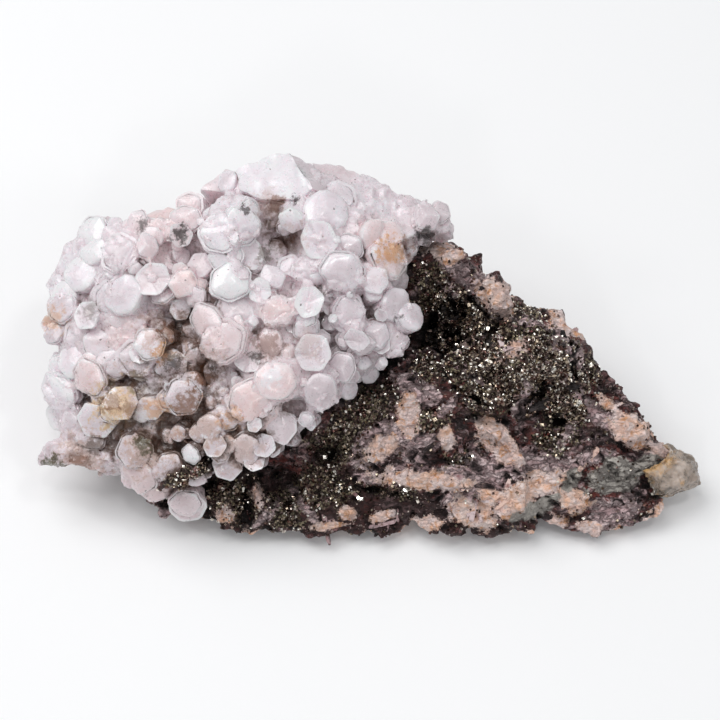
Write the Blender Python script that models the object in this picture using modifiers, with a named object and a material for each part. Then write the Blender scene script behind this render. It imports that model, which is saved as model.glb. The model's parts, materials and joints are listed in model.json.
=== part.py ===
"""A hand-sized mineral specimen: a mound of nailhead calcite crystals grown over a wedge of bladed
baryte, with a crust of fine pyrite in the hollow beside the calcite and a glassy quartz end.

The specimen lies on its broken underside. Its display face leans back, so it looks up and forwards.
Lengths are millimetres. Most places are given on the display face:
    across  to the right, from the middle of the specimen
    up      up the face, from the lowest edge that shows
    out     straight out of the face, towards someone who looks at it
"""

from math import atan2, cos, exp, hypot, pi, radians, sin, sqrt

import bmesh
import bpy
from mathutils import Matrix, Vector, noise

MM = 0.001

# The display face
FACE_LOOKS_UP = radians(60)
FACE_FOOT = Vector((-0.8, -24.6, 0.0))  # where across, up and out are all zero

# The baryte wedge
MATRIX_CENTRE = (4.0, 23.0)
MATRIX_OUTLINE = (
    (-35, 7), (-30, 4), (-23, 2.4), (-15, 1.9), (-7.5, 1.3), (1.3, 0), (5.2, 0.7), (9.3, 1.6),
    (13.3, 2.1), (16.6, 1.3), (22.4, 1.2), (25.5, 0), (27.5, 1.3), (29, 2.7), (32, 2.1), (34.6, 0.6),
    (36.4, 0.7), (38.7, 1.8), (43, 2), (44.8, 3.6), (47.0, 7.8), (47.4, 10.5), (46.4, 12.4),
    (44.6, 15.6), (44.2, 17.2), (41.9, 18.8), (41.5, 20), (39, 23.4), (34.6, 26.6), (33, 28.8),
    (31, 32.8), (28.8, 34.8), (23.7, 36.3), (18.7, 39.4), (18.4, 41), (17.2, 42.8), (14, 44.2),
    (11.8, 45.2), (5, 46.5), (-3, 49), (-12, 50.5), (-20, 51.4), (-26.5, 51), (-32, 49), (-37, 44),
    (-41, 35), (-42, 25), (-41, 17), (-38.5, 11),
)
MATRIX_FACE_OUT = 3.4
MATRIX_LUMPS = (  # across, up, reach, height (a pit where it is negative)
    (9.5, 18.5, 8.0, 4.6), (12.5, 26.0, 3.0, 2.4), (26.0, 28.5, 7.5, 2.8), (23.0, 9.0, 8.0, 2.2),
    (13.5, 41.5, 5.0, 2.0), (21.0, 37.0, 4.5, 2.4), (31.0, 31.0, 4.0, 1.4), (39.0, 17.5, 5.0, 2.6),
    (37.0, 11.5, 5.0, 1.6), (10.5, 9.5, 7.0, 1.8), (-8.0, 6.5, 6.0, 1.2),
    (11.5, 32.5, 4.6, -6.4), (17.0, 33.0, 3.2, -4.4), (18.5, 24.0, 3.0, -3.0), (29.0, 21.5, 3.6, -2.6),
    (22.5, 22.0, 2.2, -2.0), (-2.0, 9.0, 3.2, -3.2), (28.6, 3.6, 2.0, -2.6), (17.5, 12.8, 2.2, -1.6),
)
BASE_TAPER = 0.22  # how far the wedge draws in towards its underside
MATRIX_FACETS = 2100
BED_FACETS = 2400

# Baryte blades that stand out of the wedge: across, up, length, width, slant in degrees, proud
BLADES = (
    (13.3, 42.4, 4.4, 2.6, -20, 0.9), (19.5, 37.6, 6.2, 3.8, -18, 1.0), (22.2, 29.6, 5.6, 1.8, 35, 1.0),
    (24.0, 22.4, 7.4, 1.2, 72, 1.1), (25.8, 22.8, 5.8, 1.0, 74, 0.8), (9.4, 22.6, 6.0, 1.7, -38, 1.0),
    (7.6, 21.0, 5.4, 1.5, -24, 0.8), (6.4, 16.0, 6.6, 2.6, 36, 0.7), (11.0, 9.9, 11.5, 2.8, -5, 1.1),
    (20.8, 16.4, 7.6, 2.8, -48, 1.1), (18.4, 18.4, 4.0, 2.4, 10, 0.7), (22.6, 8.8, 9.0, 3.0, -9, 1.0),
    (27.2, 10.6, 6.4, 2.4, 27, 0.9), (39.2, 17.0, 6.6, 3.4, -24, 1.2), (37.6, 19.8, 3.2, 2.6, 15, 0.9),
    (31.2, 6.6, 5.6, 3.0, -28, 0.9), (34.8, 1.9, 3.0, 1.8, 12, 0.6), (20.4, 4.6, 6.6, 2.6, 8, 0.9),
    (33.6, 13.6, 5.0, 1.6, 14, 0.8), (43.8, 14.6, 2.6, 1.8, -50, 0.7), (16.2, 29.4, 5.0, 0.9, -36, 0.9),
    (13.8, 37.2, 5.0, 1.0, -52, 0.8), (30.6, 26.4, 4.6, 1.0, 48, 0.8), (35.6, 22.4, 5.2, 1.2, -44, 0.9),
    (1.6, 12.6, 5.2, 1.3, 22, 0.8), (14.2, 15.2, 4.4, 1.1, -14, 0.8), (40.6, 6.6, 4.6, 1.8, 40, 0.8),
    (36.4, 6.2, 4.2, 1.4, -30, 0.8), (-4.6, 4.6, 5.4, 1.4, -8, 0.7), (-14.6, 4.6, 5.0, 1.5, 18, 0.7),
)
BLADE_DEPTH = 3.6
BLADES_PROUD = 1.0

# The calcite mound that the crystals grow from
CALCITE_CENTRE = (-19.0, 31.0)
CALCITE_OUTLINE = (
    (-47.5, 31), (-46, 38), (-43, 43.2), (-38, 47), (-33, 49), (-26, 49.5), (-21, 52.5), (-16.5, 55.5),
    (-10, 56.5), (-5, 55.5), (0, 53.6), (5, 51.2), (9.5, 50), (12.6, 48.2), (11.8, 46.4), (6, 45.3),
    (6.6, 40), (6.4, 34), (5.4, 28.4), (1.5, 25.4), (-3.4, 21.6), (-7.5, 18), (-12, 14.2), (-18, 11.2),
    (-24, 9.4), (-31, 8.6), (-36, 9.2), (-42, 10), (-47.6, 12.6), (-45.6, 16), (-46.4, 22), (-47.6, 27),
)
MOUND_MIDDLE = (-18.0, 30.0)
MOUND_REACH = (31.0, 27.0)
MOUND_FOOT_OUT = 2.2
MOUND_HEIGHT = 11.2
MOUND_LUMPS = (
    (-37.0, 44.0, 6.0, 1.8), (-9.0, 52.0, 6.5, 4.4), (0.0, 45.0, 7.0, 3.2), (9.5, 48.8, 3.4, 2.4),
    (-43.0, 14.0, 5.0, 2.6), (-20.5, 47.0, 4.6, 2.6), (-27.6, 33.4, 3.2, -3.8), (-12.2, 44.6, 2.8, -5.0),
    (-22.6, 25.4, 2.8, -2.6), (-30.0, 17.0, 3.6, -1.4), (-24.6, 43.6, 2.6, -2.2), (-36.4, 24.6, 2.4, -1.2),
)
MOUND_FACETS = 540
CONTACT_GAP = 0.6

# Calcite crystals: across, up, radius, rise above the mound, turn about their own axis in degrees
LEFT_SHOULDER = (
    (-42.4, 42.6, 4.2, 0.2, 10), (-45.0, 38.6, 3.4, 0.0, 35), (-45.6, 35.6, 2.7, 1.2, 5),
    (-46.8, 31.6, 1.9, 1.0, 20), (-42.6, 31.2, 3.0, 0.4, 48), (-41.2, 34.2, 2.3, 1.8, 12),
    (-36.5, 43.6, 3.3, 1.8, 28), (-35.4, 46.4, 3.2, 0.2, 0), (-32.0, 44.4, 2.1, 1.2, 40),
    (-33.9, 48.2, 2.1, 0.4, 15), (-30.3, 47.4, 2.4, 0.8, 50), (-26.6, 48.6, 2.6, 0.4, 25),
    (-27.2, 45.8, 1.9, 0.8, 5), (-38.6, 38.6, 2.6, 0.6, 30), (-39.6, 47.0, 2.3, -0.4, 45),
)
CROWN = (
    (-13.1, 54.0, 4.2, 0.6, 18), (-7.8, 54.6, 3.2, 0.8, 40), (-3.9, 53.4, 2.6, 0.4, 8),
    (-19.2, 53.6, 2.6, 0.2, 30), (-19.4, 49.9, 3.9, 1.2, 12), (-21.7, 46.1, 3.6, 2.6, 35),
    (-17.8, 47.2, 3.2, 1.8, 5), (-17.0, 43.2, 2.4, 0.8, 50), (-11.0, 47.6, 2.2, 1.0, 20),
    (-5.6, 49.6, 4.0, 0.6, 33), (-1.0, 52.2, 3.2, 0.8, 14), (-1.2, 48.6, 4.2, 0.8, 52),
)
RIGHT_FLANK = (
    (4.0, 49.6, 3.3, 0.6, 25), (8.6, 48.9, 2.9, 0.8, 10), (11.4, 47.7, 2.2, 0.6, 40),
    (4.0, 43.0, 3.5, 1.6, 22), (-7.0, 44.8, 3.2, 1.8, 44), (-3.2, 40.2, 3.7, 2.6, 8),
    (-8.8, 41.0, 2.7, 1.4, 30), (1.5, 39.3, 2.3, 2.0, 15), (4.6, 35.8, 3.1, 1.8, 38),
    (4.2, 30.4, 3.2, 0.6, 5), (-2.2, 34.2, 3.0, 1.8, 27), (-1.3, 30.4, 2.0, 2.2, 50),
    (1.6, 31.6, 2.4, 0.6, 12), (-3.6, 26.4, 2.4, 0.4, 33), (1.8, 46.2, 3.0, 0.8, 47),
)
MIDDLE = (
    (-19.7, 39.3, 3.3, 2.8, 26), (-26.4, 38.8, 2.4, 2.2, 0), (-31.2, 39.5, 2.7, 2.0, 18),
    (-35.8, 37.2, 3.3, 2.2, 42), (-35.3, 33.4, 3.8, 0.8, 10), (-27.3, 34.8, 1.8, 2.4, 36),
    (-21.0, 30.4, 3.8, 3.4, 22), (-19.2, 34.4, 3.3, 1.4, 50), (-15.6, 37.8, 1.9, 1.6, 14),
    (-13.0, 34.6, 3.0, 2.4, 32), (-8.3, 36.1, 2.6, 3.0, 4), (-13.6, 40.0, 2.1, 1.2, 46),
    (-31.6, 30.0, 2.5, 2.4, 20), (-33.6, 27.4, 3.4, 1.2, 34), (-39.8, 30.2, 2.6, 0.6, 8),
    (-14.0, 30.0, 2.6, 0.8, 40), (-7.5, 28.4, 2.9, 1.8, 24), (-8.6, 32.2, 2.2, 1.0, 52),
    (-25.0, 36.6, 1.7, 1.6, 12), (-17.2, 27.6, 2.0, 0.4, 30), (-24.6, 41.6, 2.2, 1.4, 44),
)
FRONT = (
    (-6.6, 22.9, 3.4, 1.6, 16), (-12.8, 24.6, 3.6, 2.8, 36), (-16.8, 21.4, 3.8, 2.2, 6),
    (-26.6, 22.3, 3.0, 2.6, 28), (-23.0, 17.7, 2.2, 1.4, 44), (-22.2, 15.0, 2.0, 1.8, 20),
    (-25.7, 13.7, 1.4, 1.6, 0), (-27.6, 16.7, 1.5, 1.2, 38), (-17.4, 14.4, 2.8, 1.2, 10),
    (-15.0, 15.0, 2.0, 1.4, 48), (-12.4, 17.7, 2.5, 0.4, 26), (-8.8, 18.8, 1.4, 0.2, 5),
    (-20.4, 12.0, 2.4, 0.2, 32), (-20.6, 19.0, 2.2, 0.4, 14),
)
LOWER_LEFT = (
    (-46.2, 22.4, 3.4, 2.2, 24), (-44.8, 19.0, 2.7, 1.0, 50), (-41.0, 24.8, 2.8, 1.8, 12),
    (-43.8, 27.6, 2.8, 0.6, 40), (-37.8, 27.0, 2.2, 0.8, 2), (-35.9, 21.4, 2.7, 1.8, 30),
    (-31.8, 20.4, 2.2, 0.8, 46), (-34.1, 14.2, 3.1, 1.4, 16), (-34.0, 9.9, 3.3, 1.6, 34),
    (-46.4, 13.6, 2.6, 1.0, 8), (-42.6, 14.6, 3.3, 0.6, 42), (-39.6, 12.2, 2.6, 0.8, 22),
    (-40.0, 18.6, 2.8, 0.4, 28), (-29.0, 11.6, 2.6, 0.8, 10), (-25.4, 10.2, 2.2, 0.2, 50),
)
CRYSTAL_GROUPS = (LEFT_SHOULDER, CROWN, RIGHT_FLANK, MIDDLE, FRONT, LOWER_LEFT)
CRYSTAL_LENGTH = 5.6
CRYSTALS_PROUD = 0.7
CAP_HEIGHT = 0.13  # of the radius: the low three-faced point
LEAN_WITH_MOUND = 0.62
STEPPED_FROM = 3.6  # crystals this wide have a second growth step round their shoulder

# Crystals on the far side of the mound: turn round its outline in degrees, radius, set back, point back
BACK_CRYSTALS = (
    (26, 2.8, 1.5, 0.5), (42, 3.5, 3.5, 0.7), (58, 3.4, 3.0, 0.6), (73, 3.4, 4.6, 0.9), (88, 3.3, 4.0, 0.8),
    (104, 3.2, 3.5, 0.8), (120, 3.4, 3.4, 0.7), (138, 3.2, 3.5, 0.8), (156, 3.0, 3.5, 0.7),
    (174, 2.8, 3.2, 0.6), (194, 2.8, 3.0, 0.5),
)

# The calcite crystal that stands apart from the cluster, below it
LOWER_CRYSTAL = (-26.8, 5.6, 2.7)
LOWER_CRYSTAL_OUT = 7.6
LOWER_CRYSTAL_AXIS = Vector((0.1, -0.75, 1)).normalized()

# The pyrite crust in the hollow beside the calcite
CRUST_CENTRE = (20.5, 28.5)
CRUST_OUTLINE = (
    (9.6, 37.8), (10.4, 40.2), (14.2, 39.2), (16.4, 35.6), (21.0, 33.8), (25.0, 34.0), (29.2, 31.6),
    (31.4, 27.0), (34.6, 22.4), (34.8, 18.6), (30.8, 16.6), (26.6, 18.0), (22.4, 19.6), (17.4, 20.4),
    (14.4, 21.8), (11.2, 24.6), (9.0, 28.6), (8.8, 33.4),
)
CRUST_PROUD = 1.5
CRUST_LUMPS = (
    (12.4, 26.4, 2.2, 0.9), (16.4, 23.6, 2.0, 0.8), (20.4, 26.4, 2.6, 0.9), (26.0, 29.6, 2.8, 1.0),
    (30.4, 24.0, 2.6, 0.8), (24.2, 24.6, 2.0, 0.6), (13.4, 35.2, 2.4, 0.8), (28.6, 19.6, 2.0, 0.7),
    (20.4, 31.2, 2.0, 0.7),
)

# The glassy quartz at the narrow end
QUARTZ_MIDDLE = (45.8, 10.6)
QUARTZ_RADII = (4.6, 3.4, 4.2)
QUARTZ_OUT = 0.4
QUARTZ_FACES = (  # which way each broken face looks: across, up, out, and how far off it lies
    (1, 0.2, 0.3, 0.92), (0.5, 0.9, 0.5, 0.9), (0.4, -0.8, 0.4, 0.86), (0.1, 0.1, 1, 0.88),
    (-0.4, 0.8, 0.8, 0.95), (-0.6, -0.6, 0.9, 0.98), (0.8, -0.3, -0.7, 0.9), (0.7, 0.6, -0.5, 0.94),
    (0.2, 0.0, -1, 0.9), (0.7, -0.2, 0.8, 0.96),
)


def place(across, up, out):
    """A point of the display face in the specimen's own frame, in metres."""
    lean = Vector((0.0, sin(FACE_LOOKS_UP), cos(FACE_LOOKS_UP)))
    facing = Vector((0.0, -cos(FACE_LOOKS_UP), sin(FACE_LOOKS_UP)))
    return (FACE_FOOT + Vector((across, 0, 0)) + lean * up + facing * out) * MM


def face_frame(across, up, out, axis):
    """A matrix that puts a shape made round +Z, in millimetres, at that place with its top along axis."""
    turned = axis.to_track_quat("Z", "Y").to_matrix().to_4x4()
    lay = Matrix.Rotation(pi / 2 - FACE_LOOKS_UP, 4, "X")
    return Matrix.Translation(place(across, up, out)) @ Matrix.Scale(MM, 4) @ lay @ turned


def lumps_at(lumps, across, up):
    """The height that rounded lumps and pits add at a place."""
    total = 0.0
    for lump_across, lump_up, reach, height in lumps:
        away = hypot(across - lump_across, up - lump_up) / reach
        total += height * exp(-away * away)
    return total


def matrix_front(across, up):
    falls_to_tip = 0.075 * max(0.0, across - 22)
    return MATRIX_FACE_OUT - falls_to_tip + lumps_at(MATRIX_LUMPS, across, up)


def matrix_rim(up):
    return 2.6 - 0.13 * up


def calcite_front(across, up):
    far = ((across - MOUND_MIDDLE[0]) / MOUND_REACH[0]) ** 2 + ((up - MOUND_MIDDLE[1]) / MOUND_REACH[1]) ** 2
    dome = sqrt(max(0.05, 1 - far))
    return MOUND_FOOT_OUT + MOUND_HEIGHT * dome + lumps_at(MOUND_LUMPS, across, up)


def outline_reach(outline, centre, angle):
    """How far the outline lies from the centre in one direction."""
    ray = Vector((cos(angle), sin(angle)))
    furthest = 0.0
    for start, end in zip(outline, outline[1:] + outline[:1]):
        a = Vector(start) - Vector(centre)
        side = Vector(end) - Vector(start)
        turn = ray.x * side.y - ray.y * side.x
        if abs(turn) < 1e-9:
            continue
        along_ray = (a.x * side.y - a.y * side.x) / turn
        along_side = (a.x * ray.y - a.y * ray.x) / turn
        if -1e-6 <= along_side <= 1 + 1e-6 and along_ray > furthest:
            furthest = along_ray
    return furthest


def material(name, colour, roughness, metallic=0.0):
    made = bpy.data.materials.new(name)
    made.use_nodes = True
    shader = made.node_tree.nodes["Principled BSDF"]
    shader.inputs["Base Color"].default_value = (*colour, 1)
    shader.inputs["Roughness"].default_value = roughness
    shader.inputs["Metallic"].default_value = metallic
    return made


def object_from(mesh_data, name, collection, surface=None):
    """Turns a bmesh into an object of that collection."""
    mesh = bpy.data.meshes.new(name)
    mesh_data.to_mesh(mesh)
    mesh_data.free()
    made = bpy.data.objects.new(name, mesh)
    collection.objects.link(made)
    if surface:
        mesh.materials.append(surface)
    return made


def helper(obj):
    """Marks a cutter or guide, which is no part of the specimen."""
    obj.hide_render = True
    obj.display_type = "WIRE"
    return obj


def apply_modifiers(obj):
    """Replaces the object's mesh with the one that its modifiers make."""
    graph = bpy.context.evaluated_depsgraph_get()
    old = obj.data
    obj.data = bpy.data.meshes.new_from_object(obj.evaluated_get(graph))
    obj.modifiers.clear()
    bpy.data.meshes.remove(old)


def squircle(direction, sharpness):
    """Splits a unit direction into how far it goes sideways and how far out, on a soft-cornered box."""
    sideways = hypot(direction.x, direction.y)
    size = (sideways**sharpness + abs(direction.z) ** sharpness) ** (1 / sharpness)
    return sideways / size, abs(direction.z) / size


def pillow(outline, centre, front, rim, back, detail, taper=0.0, sharpness=4.0, wobble=None):
    """A closed solid with that outline on the display face, a front relief and a back.

    It starts as an icosphere. Each point is sent to the outline's reach in its own direction, then
    out to the front relief or in to the back. wobble moves it a last little way, like broken rock.
    """
    shape = bmesh.new()
    bmesh.ops.create_icosphere(shape, subdivisions=detail, radius=1.0)
    for vertex in shape.verts:
        direction = vertex.co.normalized()
        sideways, outwards = squircle(direction, sharpness)
        angle = atan2(direction.y, direction.x)
        reach = outline_reach(outline, centre, angle) * sideways
        if direction.z < 0:
            reach *= 1 - taper * outwards
        across = centre[0] + reach * cos(angle)
        up = centre[1] + reach * sin(angle)
        edge = rim(up)
        target = front(across, up) if direction.z >= 0 else back(across, up)
        out = edge + (target - edge) * outwards
        spot = Vector((across, up, out))
        if wobble:
            spot += wobble(spot, direction)
        vertex.co = place(*spot)
    bmesh.ops.recalc_face_normals(shape, faces=shape.faces)
    return shape


def broken_rock(spot, direction):
    """Blocky facets with thin ledges low on the front, as bladed baryte breaks."""
    facing = Vector((direction.x, direction.y, direction.z)).normalized()
    near, far = noise.voronoi(spot / 5.2)[0][:2]
    blocks = 2.6 * (far - near) - 0.8
    grain = 1.5 * noise.fractal(spot / 6.0, 0.9, 2.1, 3)
    height = place(*spot).z / MM
    ledges = 0.7 * sin(height * 2.3 + 2.0 * noise.noise(spot / 9.0))
    side = max(0.0, 1 - abs(direction.z) * 1.6)
    return facing * (blocks + grain + ledges * side)


def rounded_growth(spot, direction):
    """The low swells of massive calcite."""
    return direction.normalized() * 0.9 * noise.fractal(spot / 5.0 + Vector((7, 3, 1)), 1.0, 2.0, 2)


def cut_flat_at_table(obj, helpers):
    """Cuts the solid off at the surface that it rests on."""
    below = bmesh.new()
    depth = 30
    size = Matrix.Diagonal((160, 160, depth, 1))
    bmesh.ops.create_cube(below, size=MM, matrix=Matrix.Translation((0, 0, -depth / 2 * MM)) @ size)
    cut_away(obj, helper(object_from(below, "table", helpers)))


def thin_out(obj, facets, grid=0.0):
    """Keeps about that many triangles, the ones that carry the form.

    With a grid, in millimetres, the surface is first drawn anew on it, so that no fold crosses another.
    """
    if grid:
        redrawn = obj.modifiers.new("redrawn", "REMESH")
        redrawn.mode = "VOXEL"
        redrawn.voxel_size = grid * MM
        apply_modifiers(obj)
    triangles = sum(len(face.vertices) - 2 for face in obj.data.polygons)
    fewer = obj.modifiers.new("fewer facets", "DECIMATE")
    fewer.ratio = min(1.0, facets / triangles)
    fewer.use_collapse_triangulate = True
    apply_modifiers(obj)


def join_all(obj, helpers):
    """Joins every solid of a collection to the object, as one body."""
    union = obj.modifiers.new("grown together", "BOOLEAN")
    union.operation = "UNION"
    union.operand_type = "COLLECTION"
    union.collection = helpers
    union.solver = "MANIFOLD"
    apply_modifiers(obj)


def cut_away(obj, cutter):
    cut = obj.modifiers.new("contact", "BOOLEAN")
    cut.operation = "DIFFERENCE"
    cut.object = cutter
    cut.solver = "MANIFOLD"
    apply_modifiers(obj)


def keep_largest_body(obj):
    """Drops loose crumbs that a cut has left."""
    shape = bmesh.new()
    shape.from_mesh(obj.data)
    unseen = set(shape.verts)
    bodies = []
    while unseen:
        body = set()
        edge_of_growth = [unseen.pop()]
        while edge_of_growth:
            vertex = edge_of_growth.pop()
            body.add(vertex)
            for link in vertex.link_edges:
                other = link.other_vert(vertex)
                if other in unseen:
                    unseen.remove(other)
                    edge_of_growth.append(other)
        bodies.append(body)
    largest = max(bodies, key=len)
    crumbs = [vertex for vertex in shape.verts if vertex not in largest]
    bmesh.ops.delete(shape, geom=crumbs, context="VERTS")
    shape.to_mesh(obj.data)
    shape.free()


def nailhead(radius, length, turn):
    """A six-sided calcite prism round +Z, in millimetres, its low point of three faces at the origin."""
    shape = bmesh.new()
    bmesh.ops.create_cone(
        shape, cap_ends=True, segments=6, radius1=radius, radius2=radius, depth=length,
        matrix=Matrix.Rotation(radians(turn), 4, "Z") @ Matrix.Translation((0, 0, -length / 2)),
    )
    cap = max(shape.faces, key=lambda face: face.calc_center_median().z)
    corners = list(cap.verts)
    # Three flat faces meet at the point: alternate corners drop one step and two steps below it.
    step = CAP_HEIGHT * radius
    for index, corner in enumerate(corners):
        corner.co.z -= step if index % 2 else 2 * step
    point = shape.verts.new((0, 0, 0))
    sides = [(corners[i - 1], corners[i], corners[(i + 1) % 6]) for i in (0, 2, 4)]
    bmesh.ops.delete(shape, geom=[cap], context="FACES_ONLY")
    for before, low, after in sides:
        shape.faces.new((point, before, low, after))
    bmesh.ops.recalc_face_normals(shape, faces=shape.faces)
    return shape


def crystal(collection, name, across, up, out, axis, radius, turn):
    """A nailhead crystal with its point at that place. A wide one has a growth step below the point."""
    steps = [(radius, 0.0, turn)]
    if radius >= STEPPED_FROM:
        steps.append((radius * 1.12, radius * 0.36, turn + 14))
    for number, (step_radius, below, step_turn) in enumerate(steps):
        shape = nailhead(step_radius, CRYSTAL_LENGTH - below - 0.3 * number, step_turn)
        bmesh.ops.translate(shape, verts=shape.verts, vec=(0, 0, -below))
        bmesh.ops.transform(shape, matrix=face_frame(across, up, out, axis), verts=shape.verts)
        helper(object_from(shape, f"{name}_{number}", collection))


def slope_of(front, across, up):
    """How steeply a front relief falls to the right and upwards."""
    reach = 1.5
    falls_right = (front(across - reach, up) - front(across + reach, up)) / (2 * reach)
    falls_up = (front(across, up - reach) - front(across, up + reach)) / (2 * reach)
    return Vector((max(-1.3, min(1.3, falls_right)), max(-1.3, min(1.3, falls_up))))


def grow_crystals(collection):
    """Every crystal of the cluster, each one leaning with the mound under it."""
    number = 0
    for group in CRYSTAL_GROUPS:
        for across, up, radius, rise, turn in group:
            slope = slope_of(calcite_front, across, up) * LEAN_WITH_MOUND
            axis = Vector((slope.x, slope.y, 1)).normalized()
            out = calcite_front(across, up) + CRYSTALS_PROUD + rise
            crystal(collection, f"crystal_{number:02d}", across, up, out, axis, radius, turn)
            number += 1
    for angle, radius, set_back, points_back in BACK_CRYSTALS:
        turn = radians(angle)
        reach = outline_reach(CALCITE_OUTLINE, CALCITE_CENTRE, turn) - 0.4
        across = CALCITE_CENTRE[0] + reach * cos(turn)
        up = CALCITE_CENTRE[1] + reach * sin(turn)
        axis = Vector((cos(turn), sin(turn), -points_back)).normalized()
        out = MOUND_FOOT_OUT + 1.0 - set_back
        crystal(collection, f"crystal_{number:02d}", across, up, out, axis, radius, angle * 3)
        number += 1


def blade(collection, name, across, up, length, width, slant, proud, out):
    """A tabular baryte crystal that stands on edge in the wedge, with a chisel edge outwards."""
    shape = bmesh.new()
    size = Matrix.Diagonal((length, width, BLADE_DEPTH, 1))
    bmesh.ops.create_cube(shape, size=1.0, matrix=size)
    outer = [vertex for vertex in shape.verts if vertex.co.z > 0]
    for corner in outer:
        corner.co.z -= 0.35 * width if corner.co.y > 0 else 0
        corner.co.x *= 0.8
        corner.co.y *= 0.62
    slope = slope_of(matrix_front, across, up)
    tilt = Vector((slope.x + 0.2 * sin(across * 1.7), slope.y + 0.2 * cos(up * 1.3), 1)).normalized()
    sunk = out + proud * BLADES_PROUD - BLADE_DEPTH / 2
    turned = face_frame(across, up, sunk, tilt) @ Matrix.Rotation(radians(slant), 4, "Z")
    bmesh.ops.transform(shape, matrix=turned, verts=shape.verts)
    helper(object_from(shape, name, collection))


def make_matrix(collection, blades, cutters, surface):
    """The baryte wedge, with the blades that stand out of it."""
    shape = pillow(
        MATRIX_OUTLINE, MATRIX_CENTRE, matrix_front, matrix_rim,
        lambda across, up: -0.577 * up - 3.5, 6, BASE_TAPER, 4.0, broken_rock,
    )
    wedge = object_from(shape, "baryte_matrix", collection, surface)
    thin_out(wedge, MATRIX_FACETS, 0.6)
    for number, row in enumerate(BLADES):
        blade(blades, f"blade_{number:02d}", *row, matrix_front(row[0], row[1]))
    join_all(wedge, blades)
    cut_flat_at_table(wedge, cutters)
    keep_largest_body(wedge)
    return wedge


def swollen_copy(obj, name, collection, gap):
    """A simpler copy that stands proud of the object all round by the gap, to cut its neighbours with."""
    shape = bmesh.new()
    shape.from_mesh(obj.data)
    shape.normal_update()
    for vertex in shape.verts:
        vertex.co += vertex.normal * gap * MM
    swollen = helper(object_from(shape, name, collection))
    thin_out(swollen, BED_FACETS, 0.6)
    return swollen


def make_calcite(collection, crystals, surface, bed):
    """The calcite mound with all of its crystals, seated on the wedge."""
    shape = pillow(
        CALCITE_OUTLINE, CALCITE_CENTRE, calcite_front, lambda up: 1.2,
        lambda across, up: -3.0, 5, 0.3, 3.2, rounded_growth,
    )
    mound = object_from(shape, "calcite_cluster", collection, surface)
    thin_out(mound, MOUND_FACETS, 0.7)
    grow_crystals(crystals)
    join_all(mound, crystals)
    cut_away(mound, bed)
    keep_largest_body(mound)
    return mound


def lower_crystal_body(radius, shift, length, name, collection, surface=None):
    """The lone crystal's outer growth step, or the room for it where the radius is larger."""
    across, up, _ = LOWER_CRYSTAL
    shape = nailhead(radius, length, 30)
    bmesh.ops.translate(shape, verts=shape.verts, vec=(0.3, -0.4, shift))
    spot = face_frame(across, up, LOWER_CRYSTAL_OUT, LOWER_CRYSTAL_AXIS)
    bmesh.ops.transform(shape, matrix=spot, verts=shape.verts)
    return object_from(shape, name, collection, surface)


def make_lower_crystal(collection, helpers, cutters, surface, bed, neighbour):
    """The calcite crystal that stands apart, low on the front, with room for it in its neighbour."""
    across, up, radius = LOWER_CRYSTAL
    crystal(helpers, "lower_step", across, up, LOWER_CRYSTAL_OUT, LOWER_CRYSTAL_AXIS, radius * 0.98, 12)
    lone = lower_crystal_body(radius * 1.12, -1.2, 4.6, "calcite_lower_crystal", collection, surface)
    join_all(lone, helpers)
    cut_away(lone, bed)
    keep_largest_body(lone)
    room = lower_crystal_body(radius * 1.12 + 0.5, 0.6, 8.0, "room", cutters)
    cut_away(neighbour, helper(room))
    keep_largest_body(neighbour)


def make_crust(collection, surface, bed):
    """The pyrite crust: a thin lumpy skin that follows the hollow in the wedge."""

    def crust_front(across, up):
        return matrix_front(across, up) + CRUST_PROUD + lumps_at(CRUST_LUMPS, across, up)

    def crumbly(spot, direction):
        return direction.normalized() * 0.9 * noise.fractal(spot / 2.4, 0.9, 2.0, 2)

    shape = pillow(
        CRUST_OUTLINE, CRUST_CENTRE, crust_front, lambda up: -4.0, lambda across, up: -5.0, 5, 0.0, 6.0,
        crumbly,
    )
    crust = object_from(shape, "pyrite_crust", collection, surface)
    thin_out(crust, 460, 0.4)
    cut_away(crust, bed)
    keep_largest_body(crust)
    return crust


def make_quartz(collection, surface, bed):
    """The glassy end of the wedge, a lump bounded by a few curved broken faces."""
    shape = bmesh.new()
    bmesh.ops.create_icosphere(shape, subdivisions=4, radius=1.0)
    for vertex in shape.verts:
        direction = vertex.co.normalized()
        reach = 1.25
        for face_across, face_up, face_out, distance in QUARTZ_FACES:
            facing = Vector((face_across, face_up, face_out)).normalized()
            towards = direction.dot(facing)
            if towards > 0.05:
                reach = min(reach, distance / towards)
        reach += 0.05 * noise.noise(direction * 2.3)
        vertex.co = place(
            QUARTZ_MIDDLE[0] + direction.x * reach * QUARTZ_RADII[0],
            QUARTZ_MIDDLE[1] + direction.y * reach * QUARTZ_RADII[1],
            QUARTZ_OUT + direction.z * reach * QUARTZ_RADII[2],
        )
    bmesh.ops.recalc_face_normals(shape, faces=shape.faces)
    end = object_from(shape, "quartz_end", collection, surface)
    thin_out(end, 200, 0.3)
    cut_away(end, bed)
    keep_largest_body(end)
    return end


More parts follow.
